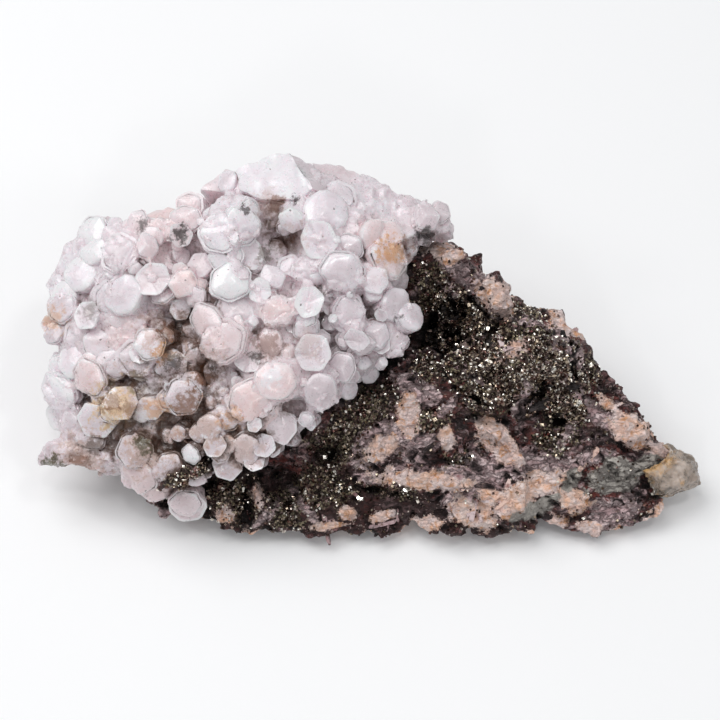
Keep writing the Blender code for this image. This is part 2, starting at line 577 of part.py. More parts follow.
def main():
    for old in list(bpy.data.objects):
        bpy.data.objects.remove(old)
    scene = bpy.context.scene
    specimen, crystals, blades, lower, cutters = (
        bpy.data.collections.new(name)
        for name in ("specimen", "crystals", "blades", "lower crystal", "cutters")
    )
    for collection in (specimen, crystals, blades, lower, cutters):
        scene.collection.children.link(collection)

    calcite = material("calcite", (0.86, 0.80, 0.82), 0.35)
    baryte = material("baryte", (0.24, 0.18, 0.19), 0.7)
    pyrite = material("pyrite", (0.22, 0.19, 0.13), 0.35, 0.9)
    quartz = material("quartz", (0.42, 0.42, 0.38), 0.3)

    wedge = make_matrix(specimen, blades, cutters, baryte)
    bed = swollen_copy(wedge, "bed", cutters, CONTACT_GAP)
    cluster = make_calcite(specimen, crystals, calcite, bed)
    make_lower_crystal(specimen, lower, cutters, calcite, bed, cluster)
    make_crust(specimen, pyrite, bed)
    make_quartz(specimen, quartz, bed)


main()
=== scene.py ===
import json
from math import atan2, cos, exp, hypot, pi, radians, sin, sqrt
from random import Random

import bmesh
import bpy
import numpy as np
from mathutils import Matrix, Vector, noise
from mathutils.bvhtree import BVHTree

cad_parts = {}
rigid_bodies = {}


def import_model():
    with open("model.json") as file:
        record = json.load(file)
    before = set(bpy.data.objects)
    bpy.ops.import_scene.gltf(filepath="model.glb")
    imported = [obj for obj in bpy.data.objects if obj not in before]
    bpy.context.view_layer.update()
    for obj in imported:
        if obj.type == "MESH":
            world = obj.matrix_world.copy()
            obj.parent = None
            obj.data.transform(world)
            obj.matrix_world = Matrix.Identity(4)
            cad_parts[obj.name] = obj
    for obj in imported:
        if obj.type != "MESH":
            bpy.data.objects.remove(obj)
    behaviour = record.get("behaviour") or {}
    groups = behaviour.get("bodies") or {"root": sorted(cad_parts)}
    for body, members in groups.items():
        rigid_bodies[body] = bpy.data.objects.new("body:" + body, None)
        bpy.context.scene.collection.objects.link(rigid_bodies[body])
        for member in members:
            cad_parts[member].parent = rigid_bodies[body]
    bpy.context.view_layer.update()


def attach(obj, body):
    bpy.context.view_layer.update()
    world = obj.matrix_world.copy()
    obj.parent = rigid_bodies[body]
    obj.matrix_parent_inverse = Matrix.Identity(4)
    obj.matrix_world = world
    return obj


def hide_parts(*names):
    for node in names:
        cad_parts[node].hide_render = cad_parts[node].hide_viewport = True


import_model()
mm = 0.001

# The display face leans back. Places on it are across, up and out, in millimetres.
displayFace = {
    "looksUp": radians(60),
    "foot": Vector((-0.8, -24.6, 0.0)),
    "flatten": 0.15,
    "above": 60,
}
layBack = Matrix.Rotation(pi / 2 - displayFace["looksUp"], 4, "X")
facing = (layBack @ Vector((0, 0, 1))).to_3d()


def facePoint(across, up, out):
    return (displayFace["foot"] + layBack @ Vector((across, up, out))) * mm


def faceCoords(point):
    return layBack.inverted() @ (Vector(point) / mm - displayFace["foot"])


def stainPoint(across, up, out):
    # as facePoint, on the flattened face that the stains are laid out on
    return Vector((across, up, out * displayFace["flatten"])) * mm


def lumpsAt(lumps, across, up):
    total = 0.0
    for lumpAcross, lumpUp, reach, height in lumps:
        away = hypot(across - lumpAcross, up - lumpUp) / reach
        total += height * exp(-away * away)
    return total


def selectOnly(obj):
    bpy.ops.object.select_all(action="DESELECT")
    obj.select_set(True)
    bpy.context.view_layer.objects.active = obj


def applyModifiers(obj):
    selectOnly(obj)
    for modifier in list(obj.modifiers):
        bpy.ops.object.modifier_apply(modifier=modifier.name)


def mergedCopy(nodeName, name):
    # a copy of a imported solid, its loose triangles merged into one surface
    node = bpy.data.objects[nodeName]
    copy = bpy.data.objects.new(name, node.data.copy())
    bpy.context.scene.collection.objects.link(copy)
    copy.matrix_world = node.matrix_world
    selectOnly(copy)
    bpy.ops.object.transform_apply(location=True, rotation=True, scale=True)
    bpy.ops.object.mode_set(mode="EDIT")
    bpy.ops.mesh.select_all(action="SELECT")
    bpy.ops.mesh.remove_doubles(threshold=1e-6)
    bpy.ops.mesh.normals_make_consistent(inside=False)
    bpy.ops.object.mode_set(mode="OBJECT")
    copy.data.materials.clear()
    return copy


def addModifier(obj, kind, **values):
    modifier = obj.modifiers.new(kind.lower(), kind)
    for key, value in values.items():
        setattr(modifier, key, value)
    return modifier


def addGrid(obj, size, factor=0.5, rounds=0):
    addModifier(obj, "REMESH", mode="VOXEL", voxel_size=size * mm)
    if rounds:
        addModifier(obj, "SMOOTH", factor=factor, iterations=rounds)


def roughTexture(name, kind, size, **values):
    texture = bpy.data.textures.new(name, kind)
    texture.noise_scale = size * mm
    for key, value in values.items():
        setattr(texture, key, value)
    return texture


def addRelief(obj, rows):
    # displacements by a texture: its name, kind and size, then strength and middle level
    for name, kind, size, strength, middle in rows:
        more = {"distance_metric": "CHEBYCHEV"} if kind == "VORONOI" else {}
        texture = roughTexture(name, kind, size, **more)
        addModifier(obj, "DISPLACE", strength=strength * mm, mid_level=middle, texture=texture)


def newCollection(name):
    collection = bpy.data.collections.new(name)
    bpy.context.scene.collection.children.link(collection)
    return collection


def joinSolids(obj, collection):
    # unites a solid with all solids of a collection
    values = {"operation": "UNION", "operand_type": "COLLECTION", "solver": "MANIFOLD"}
    addModifier(obj, "BOOLEAN", collection=collection, **values)
    applyModifiers(obj)
    for part in list(collection.objects):
        bpy.data.objects.remove(part)
    bpy.data.collections.remove(collection)


def joinMesh(obj, other):
    selectOnly(obj)
    other.select_set(True)
    bpy.ops.object.join()


def fillLayers(obj, growth, tints):
    # one growth place for the whole mesh and a tint for each corner
    for old in list(obj.data.uv_layers):
        obj.data.uv_layers.remove(old)
    uv = obj.data.uv_layers.new(name="growth")
    count = len(obj.data.loops)
    uv.data.foreach_set("uv", np.tile(growth, (count, 1)).astype(np.float32).ravel())
    layer = obj.data.color_attributes.new("tint", "FLOAT_COLOR", "CORNER")
    layer.data.foreach_set("color", np.array(tints, dtype=np.float32).ravel())


def growthFrom(obj, place):
    # the growth map of a master, worked out from where each corner is
    uv = obj.data.uv_layers[0]
    uv.name = "growth"
    for loop, corner in zip(obj.data.loops, uv.data):
        corner.uv = place(obj.data.vertices[loop.vertex_index].co)


def dress(obj, material, angle=None):
    obj.data.materials.clear()
    obj.data.materials.append(material)
    if angle:
        selectOnly(obj)
        bpy.ops.object.shade_smooth_by_angle(angle=radians(angle))


def spun(degrees):
    return Matrix.Rotation(radians(degrees), 4, "Z")


def sized(x, y, z):
    return Matrix.Diagonal((x * mm, y * mm, z * mm, 1))


def wobble(dice, reach):
    return Vector((dice.uniform(-reach, reach), dice.uniform(-reach, reach), 0))


def landOn(tree, across, up):
    # where a line straight onto the display face meets a surface, with the normal there
    return tree.ray_cast(facePoint(across, up, displayFace["above"]), -facing)[:2]


def treeOf(*objects):
    corners, faces = [], []
    for obj in objects:
        start = len(corners)
        corners += [v.co.copy() for v in obj.data.vertices]
        faces += [[start + i for i in f.vertices] for f in obj.data.polygons]
    return BVHTree.FromPolygons(corners, faces)


def joinedCopies(name, masters, places):
    # one mesh that holds a copy of a master for each place: (master, matrix, tint)
    points, faces, growth, tints, smooth = [], [], [], [], []
    count = 0
    for which, matrix, tint in places:
        master = masters[which]
        turned = np.array(matrix)
        points.append(master["points"] @ turned[:3, :3].T + turned[:3, 3])
        faces += [[count + i for i in face] for face in master["faces"]]
        growth.append(master["growth"])
        tints.append(np.tile(tint, (master["growth"].shape[0], 1)))
        count += len(master["points"])
    mesh = bpy.data.meshes.new(name)
    mesh.from_pydata(np.concatenate(points).tolist(), [], faces)
    uv = mesh.uv_layers.new(name="growth")
    uv.data.foreach_set("uv", np.concatenate(growth).astype(np.float32).ravel())
    tintLayer = mesh.color_attributes.new("tint", "FLOAT_COLOR", "CORNER")
    tintLayer.data.foreach_set("color", np.concatenate(tints).astype(np.float32).ravel())
    obj = bpy.data.objects.new(name, mesh)
    bpy.context.scene.collection.objects.link(obj)
    return obj


def masterOf(obj):
    # reads a modelled master into arrays, sorted so that each run gives the same order
    mesh = obj.data
    uv = mesh.uv_layers["growth"].data
    points = np.array([v.co[:] for v in mesh.vertices])
    order = np.lexsort(np.round(points, 5).T)
    place = {int(old): new for new, old in enumerate(order)}
    rings = []
    for face in mesh.polygons:
        ring = [(place[mesh.loops[i].vertex_index], tuple(uv[i].uv)) for i in face.loop_indices]
        start = ring.index(min(ring))
        rings.append(ring[start:] + ring[:start])
    rings.sort()
    master = {
        "points": points[order],
        "faces": [[number for number, spot in ring] for ring in rings],
        "growth": np.array([spot for ring in rings for number, spot in ring]),
    }
    bpy.data.objects.remove(obj)
    return master


def addHollows(obj, surroundings, reach, rays=10):
    # a vertex attribute that tells how closed in each point is
    fan = []
    for i in range(rays):
        turn, rise = 2.4 * i, 0.25 + 0.75 * (i + 0.5) / rays
        flat = sqrt(1 - rise * rise)
        fan.append(Vector((flat * cos(turn), flat * sin(turn), rise)))
    mesh = obj.data
    normals = [v.normal.copy() for v in mesh.vertices]
    values = []
    for vertex, normal in zip(mesh.vertices, normals):
        turned = normal.to_track_quat("Z", "Y").to_matrix()
        start = vertex.co + normal * 0.06 * mm
        hits = 0
        for ray in fan:
            if surroundings.ray_cast(start, turned @ ray, reach * mm)[0] is not None:
                hits += 1
        values.append(hits / rays)
    layer = mesh.attributes.new("hollow", "FLOAT", "POINT")
    layer.data.foreach_set("value", values)


class Recipe:
    # a material or group that is being put together, node by node
    def __init__(self, tree):
        self.tree = tree

    def add(self, kind, inputs=None, **values):
        node = self.tree.nodes.new("ShaderNode" + kind)
        for key, value in values.items():
            setattr(node, key, value)
        for key, value in (inputs or {}).items():
            self.put(value, node.inputs[key])
        return node

    def put(self, value, socket):
        if isinstance(value, bpy.types.NodeSocket):
            self.tree.links.new(value, socket)
        elif isinstance(value, bpy.types.Node):
            colour = 2 if isinstance(value, bpy.types.ShaderNodeMix) else 0
            self.tree.links.new(value.outputs[colour], socket)
        else:
            socket.default_value = value

    def math(self, operation, first, second=0.0, clamp=False):
        return self.add("Math", {0: first, 1: second}, operation=operation, use_clamp=clamp)

    def times(self, first, second, clamp=False):
        return self.math("MULTIPLY", first, second, clamp)

    def plus(self, first, second):
        return self.math("ADD", first, second)

    def minus(self, first, second):
        return self.math("SUBTRACT", first, second)

    def attribute(self, name, output="Fac"):
        return self.add("Attribute", attribute_name=name).outputs[output]

    def split(self, colour):
        return self.add("SeparateColor", {"Color": colour}).outputs

    def growth(self):
        # how far from the middle of a crystal, and how far down its side
        return self.add("SeparateXYZ", {0: self.add("UVMap", uv_map="growth")}).outputs

    def give(self, label, value):
        self.put(value, self.shader.inputs[label])

    def bump(self, height, strength, distance, **more):
        values = {"Height": height, "Strength": strength, "Distance": distance * mm, **more}
        self.give("Normal", self.add("Bump", values))

    def fade(self, value, low, high, toLow=0.0, toHigh=1.0):
        values = {"From Min": low, "From Max": high, "To Min": toLow, "To Max": toHigh}
        return self.add("MapRange", {"Value": value, **values})

    def mix(self, mask, under, over):
        node = self.add("Mix", data_type="RGBA")
        self.put(mask, node.inputs["Factor"])
        for value, socket in ((under, node.inputs[6]), (over, node.inputs[7])):
            self.put((*value, 1.0) if isinstance(value, tuple) else value, socket)
        return node

    def noise(self, scale, detail=3.0, roughness=0.55, distortion=0.0, where=None):
        values = {"Scale": scale, "Detail": detail, "Roughness": roughness, "Distortion": distortion}
        return self.add("TexNoise", {"Vector": where or self.place, **values})

    def cells(self, scale, where=None, **values):
        return self.add("TexVoronoi", {"Vector": where or self.place, "Scale": scale}, **values)

    def vector(self, operation, first, second):
        # moves by a vector or scales by a number
        other = "Scale" if operation == "SCALE" else 1
        return self.add("VectorMath", {0: first, other: second}, operation=operation)

    def layered(self, base, look, rows):
        # colours laid over each other: what steers them, from where to where, how strongly, which
        for value, low, high, most, colour in rows:
            base = self.mix(self.fade(value, low, high, 0.0, most), base, look[colour])
        return base

    def group(self, tree, **inputs):
        node = self.add("Group", node_tree=tree)
        for key, value in inputs.items():
            self.put(value, node.inputs[key])
        return node


def newMaterial(name):
    material = bpy.data.materials.new(name)
    material.use_nodes = True
    recipe = Recipe(material.node_tree)
    recipe.shader = material.node_tree.nodes["Principled BSDF"]
    recipe.place = recipe.add("TexCoord").outputs["Object"]
    return material, recipe


def flattenedPlace(r):
    # object coordinates turned into the display face, with what stands out of it pressed nearly flat
    foot = displayFace["foot"] * mm
    moved = r.vector("SUBTRACT", r.place, foot)
    turned = r.add("Mapping", {"Vector": moved, "Rotation": (displayFace["looksUp"] - pi / 2, 0, 0)})
    return r.vector("MULTIPLY", turned, (1, 1, displayFace["flatten"])).outputs[0]


def newGroup(name, inputs, outputs):
    # a shader group: its inputs with their values, None for a place, and its outputs
    tree = bpy.data.node_groups.new(name, "ShaderNodeTree")
    for label, value in inputs.items():
        kind = "NodeSocketVector" if value is None else "NodeSocketFloat"
        socket = tree.interface.new_socket(name=label, in_out="INPUT", socket_type=kind)
        if value is not None:
            socket.default_value = value
    for label in outputs:
        kind = "NodeSocketVector" if label == "Normal" else "NodeSocketFloat"
        tree.interface.new_socket(name=label, in_out="OUTPUT", socket_type=kind)
    recipe = Recipe(tree)
    recipe.given = tree.nodes.new("NodeGroupInput").outputs
    recipe.result = tree.nodes.new("NodeGroupOutput").inputs
    recipe.place = recipe.given["Place"]
    return tree, recipe


def stainAt(r, place, row, breakup):
    across, up, out, reach = row[:4]
    centre = stainPoint(across, up, out)
    return r.group(roundStain, Place=place, Centre=centre, Reach=reach * mm, Breakup=breakup)


def grimeAndShadeGroup():
    # brown dirt and iron stain that gathers where the surface is closed in, with painted shade: the mask
    # grows with how closed in each point is
    tree, r = newGroup("grimeInHollows", {"Place": None, "Amount": 0.5, "Size": 400.0}, ["Mask"])
    hollow = r.attribute("hollow")
    patches = r.noise(r.given["Size"], 5.0, 0.7)
    closed = r.fade(hollow, 0.3, 0.95)
    spread = r.plus(patches, r.times(closed, 0.42))
    worn = r.fade(spread, 0.78, 0.93)
    r.put(r.times(worn, r.given["Amount"], True), r.result["Mask"])
    return tree


def specksGroup():
    # scattered grains, each cell of the pattern with its own chance of one
    tree, r = newGroup("scatteredSpecks", {"Place": None, "Size": 2000.0, "Share": 0.2}, ["Mask"])
    bend = r.noise(2600.0, 2.0).outputs["Color"]
    bent = r.vector("SCALE", bend, 0.0006)
    place = r.vector("ADD", r.given["Place"], bent)
    cells = r.cells(r.given["Size"], place)
    chance = r.split(cells.outputs["Color"])
    gathered = r.fade(r.noise(240.0, 2.0), 0.45, 0.62, 0.25, 2.6)
    chosen = r.math("LESS_THAN", chance[0], r.times(r.given["Share"], gathered))
    width = r.fade(chance[2], 0.0, 1.0, 0.12, 0.34)
    core = r.fade(r.minus(cells.outputs["Distance"], width), 0.05, -0.05)
    r.put(r.times(chosen, core), r.result["Mask"])
    return tree


def stainsGroup():
    # soft round stains at a place on the specimen
    inputs = {"Place": None, "Centre": None, "Reach": 0.003, "Breakup": 0.5}
    tree, r = newGroup("roundStain", inputs, ["Mask"])
    away = r.vector("DISTANCE", r.given["Place"], r.given["Centre"])
    share = r.math("DIVIDE", away.outputs["Value"], r.given["Reach"])
    patches = r.noise(900.0, 5.0, 0.75)
    rough = r.times(r.minus(patches, 0.5), r.given["Breakup"])
    r.put(r.fade(r.plus(share, rough), 0.95, 0.5), r.result["Mask"])
    return tree


def facetsGroup():
    # turns the normal of each tiny cell its own way, so that a crust of crystals glints
    tree, r = newGroup("tinyFacets", {"Place": None, "Size": 3000.0, "Amount": 1.0}, ["Normal"])
    cells = r.cells(r.given["Size"])
    turned = r.vector("SUBTRACT", cells.outputs["Color"], (0.5, 0.5, 0.5))
    tilt = r.vector("SCALE", turned, r.times(r.given["Amount"], 1.5))
    straight = r.add("NewGeometry").outputs["Normal"]
    bent = r.vector("ADD", straight, tilt)
    r.put(r.add("VectorMath", {0: bent}, operation="NORMALIZE"), r.result["Normal"])
    return tree


grimeAndShade = grimeAndShadeGroup()
specks = specksGroup()
roundStain = stainsGroup()
facetGroup = facetsGroup()


calciteLook = {
    "milk": (1.0, 0.93, 0.985),
    "clear": (0.72, 0.635, 0.665),
    "pink": (0.94, 0.70, 0.67),
    "side": (0.91, 0.775, 0.82),
    # rim: near white, for growth lines and for the painted highlight on cap edges
    "rim": (0.98, 0.96, 0.98),
    # deep: painted shade for the most closed-in hollows
    "deep": (0.30, 0.19, 0.15),
    "dusty": (0.60, 0.50, 0.49),
    "roughness": (0.2, 0.44),
    "glow": 0.7,
    "through": 0.12,
    "coat": 0.35,
    "glowReach": 1.5 * mm,
    "glowColours": (1.0, 0.84, 0.88),
    "bend": 1.6,
    "coatRoughness": 0.12,
    "stainBreakup": 4.2,
    "dirtAndShadeBreakup": 1.2,
    "soil": {
        "iron": (0.72, 0.36, 0.13), "rust": (0.22, 0.085, 0.035), "soot": (0.05, 0.04, 0.035),
        "yellow": (0.86, 0.60, 0.26), "moss": (0.12, 0.10, 0.05), "white": (0.90, 0.87, 0.90),
        "earth": (0.56, 0.37, 0.29), "shadedLoam": (0.17, 0.10, 0.075),
        "specks": (0.08, 0.06, 0.05), "grit": (0.16, 0.11, 0.085),
    },
    # parts whose crevices get dirt and painted shade: across, up, out, reach
    "dirtAndShadeParts": (
        (-31, 17, 11, 15), (-26, 29, 12, 8), (-13, 46.5, 9, 4), (-16, 15, 10, 10),
    ),
    # stains: across, up, out, reach, what, strength
    "stains": (
        (-35, 21.4, 11, 5.4, "earth", 0.55), (-24, 18.8, 12, 4.8, "earth", 0.6),
        (-31.6, 15.4, 10, 5.2, "earth", 0.65), (-29.6, 31.6, 13, 4.4, "earth", 0.5),
        (-24.4, 27, 13, 4, "earth", 0.45), (-42, 13, 7, 4.6, "earth", 0.6),
        (-18.6, 14.6, 10, 4.4, "earth", 0.45), (-14.4, 50.4, 10, 3, "earth", 0.4),
        (-10.6, 45.4, 8, 2.6, "earth", 0.35), (-47, 34, 6, 3, "earth", 0.3),
        (-8.6, 30, 11, 2.6, "earth", 0.3), (4.4, 42.4, 8, 3.4, "earth", 0.35),
        (-36.6, 20.8, 12, 4.2, "yellow", 0.5), (-37.4, 21.6, 12.6, 1.8, "rust", 0.7),
        (-34.6, 20.4, 12, 1.6, "rust", 0.6), (-32.4, 19.2, 12, 2, "white", 0.8),
        (-30.6, 20.6, 11, 2.4, "iron", 0.6), (3.8, 43.8, 9.5, 2.5, "iron", 0.7),
        (6, 44.6, 8, 1.5, "rust", 0.5), (-26, 20.9, 13.5, 2.8, "rust", 0.65),
        (-28.8, 31.8, 14, 2, "rust", 0.9), (-29.6, 28.6, 13, 1.8, "iron", 0.7),
        (-28.2, 27, 13, 1.6, "soot", 0.8), (-24, 25.2, 13.5, 2, "rust", 0.9),
        (-22.6, 26.4, 13, 1.1, "soot", 0.9), (-19.6, 19.2, 12, 2, "iron", 0.5),
        (-14.3, 29.8, 13, 2.8, "rust", 0.55), (-15.9, 28.2, 12, 1.2, "soot", 0.7),
        (4.9, 33.9, 6.6, 1.1, "soot", 0.8), (-32.4, 15.4, 10, 2, "moss", 0.9),
        (-30.4, 16.6, 10, 1.5, "soot", 0.8), (-46.8, 11.6, 6, 2.2, "moss", 0.95),
        (-42.4, 12.4, 8, 2, "rust", 0.7), (-40.2, 14.6, 8, 1.8, "soot", 0.6),
        (8.8, 46.2, 5, 1.6, "soot", 0.85), (-17.6, 49.4, 12, 1, "soot", 0.8),
        (-13.2, 50.6, 11, 1.6, "rust", 0.7), (-10.4, 51.2, 10, 1.1, "soot", 0.8),
        (-33, 47.4, 9, 1.2, "soot", 0.7), (-27.2, 46, 11, 1.6, "soot", 0.85),
        (-40.6, 35, 11, 1.9, "moss", 0.4), (-46.6, 33.6, 6, 2.2, "iron", 0.4),
        (-14.8, 43.4, 10, 1.9, "moss", 0.6), (-33.6, 24.4, 13, 2, "moss", 0.6),
        (-13.8, 25.2, 14.5, 1.8, "white", 0.8), (-12.8, 55.2, 8, 3.4, "white", 0.5),
        (-25.6, 13.6, 12, 1.4, "white", 0.9), (-31.4, 23, 12, 1.4, "white", 0.7),
    ),
}


def calciteMaterial(look):
    material, r = newMaterial("milkyCalcite")
    fromMiddle, down = r.growth()[:2]
    tint = r.split(r.attribute("tint", "Color"))
    hollow = r.attribute("hollow")
    clouds = r.noise(300.0, 4.0, 0.6, 0.5)
    core = r.fade(fromMiddle, 0.85, 0.2, 0.0, 0.42)
    clearness = r.plus(tint[0], r.plus(core, r.fade(clouds, 0.3, 0.7, -0.3, 0.3)))
    body = r.mix(r.fade(clearness, 0.0, 1.0), look["milk"], look["clear"])
    onSide = r.fade(down, 0.22, 0.7)
    body = r.mix(r.times(onSide, 0.32), body, look["side"])
    body = r.mix(r.times(tint[2], r.fade(clouds, 0.3, 0.7, 0.55, 1.0)), body, look["pink"])
    ripple = r.plus(fromMiddle, r.times(r.noise(700.0, 3.0), 0.5))
    zones = r.math("SINE", r.times(ripple, 24.0))
    body = r.mix(r.fade(zones, 0.75, 1.0, 0.0, 0.09), body, look["rim"])
    # painted highlight: the outer edge of each cap lightened towards near white, unevenly
    uneven = r.fade(r.noise(500.0, 2.0), 0.35, 0.55, 0.25, 0.95)
    edge = r.times(r.fade(fromMiddle, 0.86, 0.95, 0.0, 0.8), r.fade(down, 0.5, 0.25))
    body = r.mix(r.times(edge, uneven), body, look["rim"])
    massive = r.fade(down, 0.9, 1.0)
    mottled = r.noise(820.0, 5.0, 0.72)
    body = r.mix(r.times(massive, r.fade(mottled, 0.5, 0.64, 0.0, 0.42)), body, look["dusty"])
    # painted shade: closed-in hollows darkened towards the side colour and the deep brown
    body = r.layered(body, look, (
        (hollow, 0.25, 0.75, 0.4, "side"),
        (hollow, 0.6, 1.0, 0.25, "deep"),
    ))
    flat = flattenedPlace(r)
    for row in look["stains"]:
        soil, strength = row[4:]
        stain = stainAt(r, flat, row, look["stainBreakup"])
        body = r.mix(r.times(stain, strength), body, look["soil"][soil])
    # painted shade with dirt: in these parts closed-in, mottled places turn dark brown
    muddyAndShaded = 0.0
    for row in look["dirtAndShadeParts"]:
        muddyAndShaded = r.math("MAXIMUM", muddyAndShaded, stainAt(r, flat, row, look["dirtAndShadeBreakup"]))
    speckled = r.plus(r.times(hollow, 0.75), r.times(mottled, 0.9))
    body = r.mix(r.times(muddyAndShaded, r.fade(speckled, 0.62, 0.84, 0.0, 0.9)), body, look["soil"]["shadedLoam"])
    # painted shade with dirt: closed-in places darkened to rust and near-black soot
    dustAndShade = r.group(grimeAndShade, Place=r.place, Amount=0.7, Size=560.0)
    sooty = r.fade(r.noise(300.0, 3.0), 0.42, 0.58)
    soil = r.mix(sooty, look["soil"]["rust"], look["soil"]["soot"])
    body = r.mix(dustAndShade, body, soil)
    grains = r.group(specks, Place=r.place, Size=1900.0, Share=0.013)
    body = r.mix(r.times(grains.outputs["Mask"], 0.8), body, look["soil"]["specks"])
    grit = r.group(specks, Place=r.place, Size=2500.0, Share=0.13)
    body = r.mix(r.times(r.times(grit.outputs["Mask"], massive), 0.7), body, look["soil"]["grit"])
    r.give("Base Color", body)
    frost = r.noise(1500.0, 3.0, 0.6)
    low, high = look["roughness"]
    r.give("Roughness", r.fade(frost, 0.3, 0.7, low, high))
    lines = r.math("SINE", r.times(down, 70.0))
    ridges = r.times(lines, r.times(r.fade(down, 0.28, 0.4), 0.6))
    terraces = r.times(zones, r.fade(down, 0.3, 0.2, 0.0, 0.12))
    height = r.plus(r.plus(ridges, terraces), r.times(frost, 0.6))
    height = r.plus(height, r.times(r.noise(520.0, 3.0), 1.5))
    sugary = r.cells(1300.0)
    height = r.plus(height, r.times(sugary.outputs["Distance"], r.times(massive, 3.0)))
    r.bump(height, 0.45, 0.13)
    r.give("Subsurface Weight", look["glow"])
    r.give("Subsurface Radius", look["glowColours"])
    r.give("Subsurface Scale", look["glowReach"])
    r.give("IOR", look["bend"])
    r.give("Transmission Weight", look["through"])
    r.give("Coat Weight", look["coat"])
    r.give("Coat Roughness", look["coatRoughness"])
    return material


# Each master is a crystal of radius 1. Its plates go from the root up: radius, thickness, shift sideways.
crystalMasters = {
    "plain": {
        "plates": ((1.0, 0.7, 0), (1.07, 0.24, 0), (0.98, 0.42, 0)),
        "drop": 0.2,
        "round": 0.12,
        "corners": 7,
    },
    "stacked": {
        "plates": ((1.04, 0.5, 0), (1.02, 0.2, 0.03), (0.98, 0.18, -0.05), (0.82, 0.3, 0.05)),
        "drop": 0.15,
        "round": 0.08,
        "corners": 8,
    },
    "rounded": {"plates": ((1.0, 0.9, 0), (0.98, 0.46, 0)), "drop": 0.16, "round": 0.18, "corners": 11},
    "flat": {"plates": ((0.94, 0.8, 0), (1.02, 0.34, 0)), "drop": 0.13, "round": 0.11, "corners": 8},
    "blocky": {"plates": ((1.0, 1.36, 0),), "drop": 0.22, "round": 0.1, "corners": 5},
    "broken": {
        "plates": ((1.0, 0.9, 0), (1.04, 0.46, 0)),
        "drop": 0.12,
        "round": 0.08,
        "corners": 5,
        "cut": (0.35, 0.2, 0.62),
        "cutThrough": (0.45, 0.1, -0.1),
    },
}
crystalDepth = 1.36


def topFace(shape):
    shape.faces.ensure_lookup_table()
    upward = [face for face in shape.faces if face.normal.z > 0.9]
    return max(upward, key=lambda face: face.calc_center_median().z)


def selectTop(obj):
    bpy.ops.mesh.select_all(action="DESELECT")
    shape = bmesh.from_edit_mesh(obj.data)
    topFace(shape).select_set(True)
    bmesh.update_edit_mesh(obj.data)


def crystalGrowth(spot):
    reach = max(spot.x * cos(k * pi / 3) + spot.y * sin(k * pi / 3) for k in range(6))
    return reach / cos(pi / 6), -spot.z


def crystalMaster(name, values):
    plates = values["plates"]
    bpy.ops.object.select_all(action="DESELECT")
    radius, thickness, shift = plates[0]
    bpy.ops.mesh.primitive_cylinder_add(
        vertices=12, radius=radius, depth=thickness, location=(shift, 0, thickness / 2 - crystalDepth)
    )
    obj = bpy.context.object
    obj.name = name
    bpy.ops.object.transform_apply(location=True, rotation=True, scale=True)
    bpy.ops.object.mode_set(mode="EDIT")
    shape = bmesh.from_edit_mesh(obj.data)
    for vertex in shape.verts:  # twelve corners drawn together in pairs: a hexagon with its corners cut
        turn = atan2(vertex.co.y, vertex.co.x - shift) - radians(15)
        corner = radians(30) + radians(60) * round((turn - radians(30)) / radians(60))
        beside = radians(values["corners"]) * (1 if turn > corner else -1)
        reach = radius * cos(radians(30)) / cos(radians(30 - values["corners"]))
        vertex.co.x = shift + reach * cos(corner + beside)
        vertex.co.y = reach * sin(corner + beside)
    bmesh.update_edit_mesh(obj.data)
    bpy.ops.mesh.select_mode(type="FACE")
    for below, (nextRadius, thickness, shift) in zip(plates, plates[1:]):
        selectTop(obj)
        bpy.ops.mesh.extrude_region_move(TRANSFORM_OT_translate={"value": (shift, 0, 0.0)})
        ratio = nextRadius / below[0]
        bpy.ops.transform.resize(value=(ratio, ratio, 1))
        bpy.ops.mesh.extrude_region_move(TRANSFORM_OT_translate={"value": (0, 0, thickness)})
    selectTop(obj)
    bpy.ops.mesh.poke()
    shape = bmesh.from_edit_mesh(obj.data)
    middle = max(shape.verts, key=lambda v: (v.co.z, -v.co.xy.length))
    for edge in middle.link_edges:
        corner = edge.other_vert(middle)
        corner.co.z -= values["drop"] * (1.5 + 0.5 * cos(3 * atan2(corner.co.x, corner.co.y)))
    rim = [edge for face in middle.link_faces for edge in face.edges if middle not in edge.verts]
    bpy.ops.mesh.select_mode(type="EDGE")
    bpy.ops.mesh.select_all(action="DESELECT")
    for edge in rim:
        edge.select_set(True)
    bmesh.update_edit_mesh(obj.data)
    bpy.ops.mesh.bevel(offset=values["round"], segments=2, affect="EDGES")
    if "cut" in values:
        bpy.ops.mesh.select_all(action="SELECT")
        through, cut = values["cutThrough"], values["cut"]
        bpy.ops.mesh.bisect(plane_co=through, plane_no=cut, use_fill=True, clear_outer=True)
    bpy.ops.object.mode_set(mode="OBJECT")
    growthFrom(obj, crystalGrowth)
    return masterOf(obj)


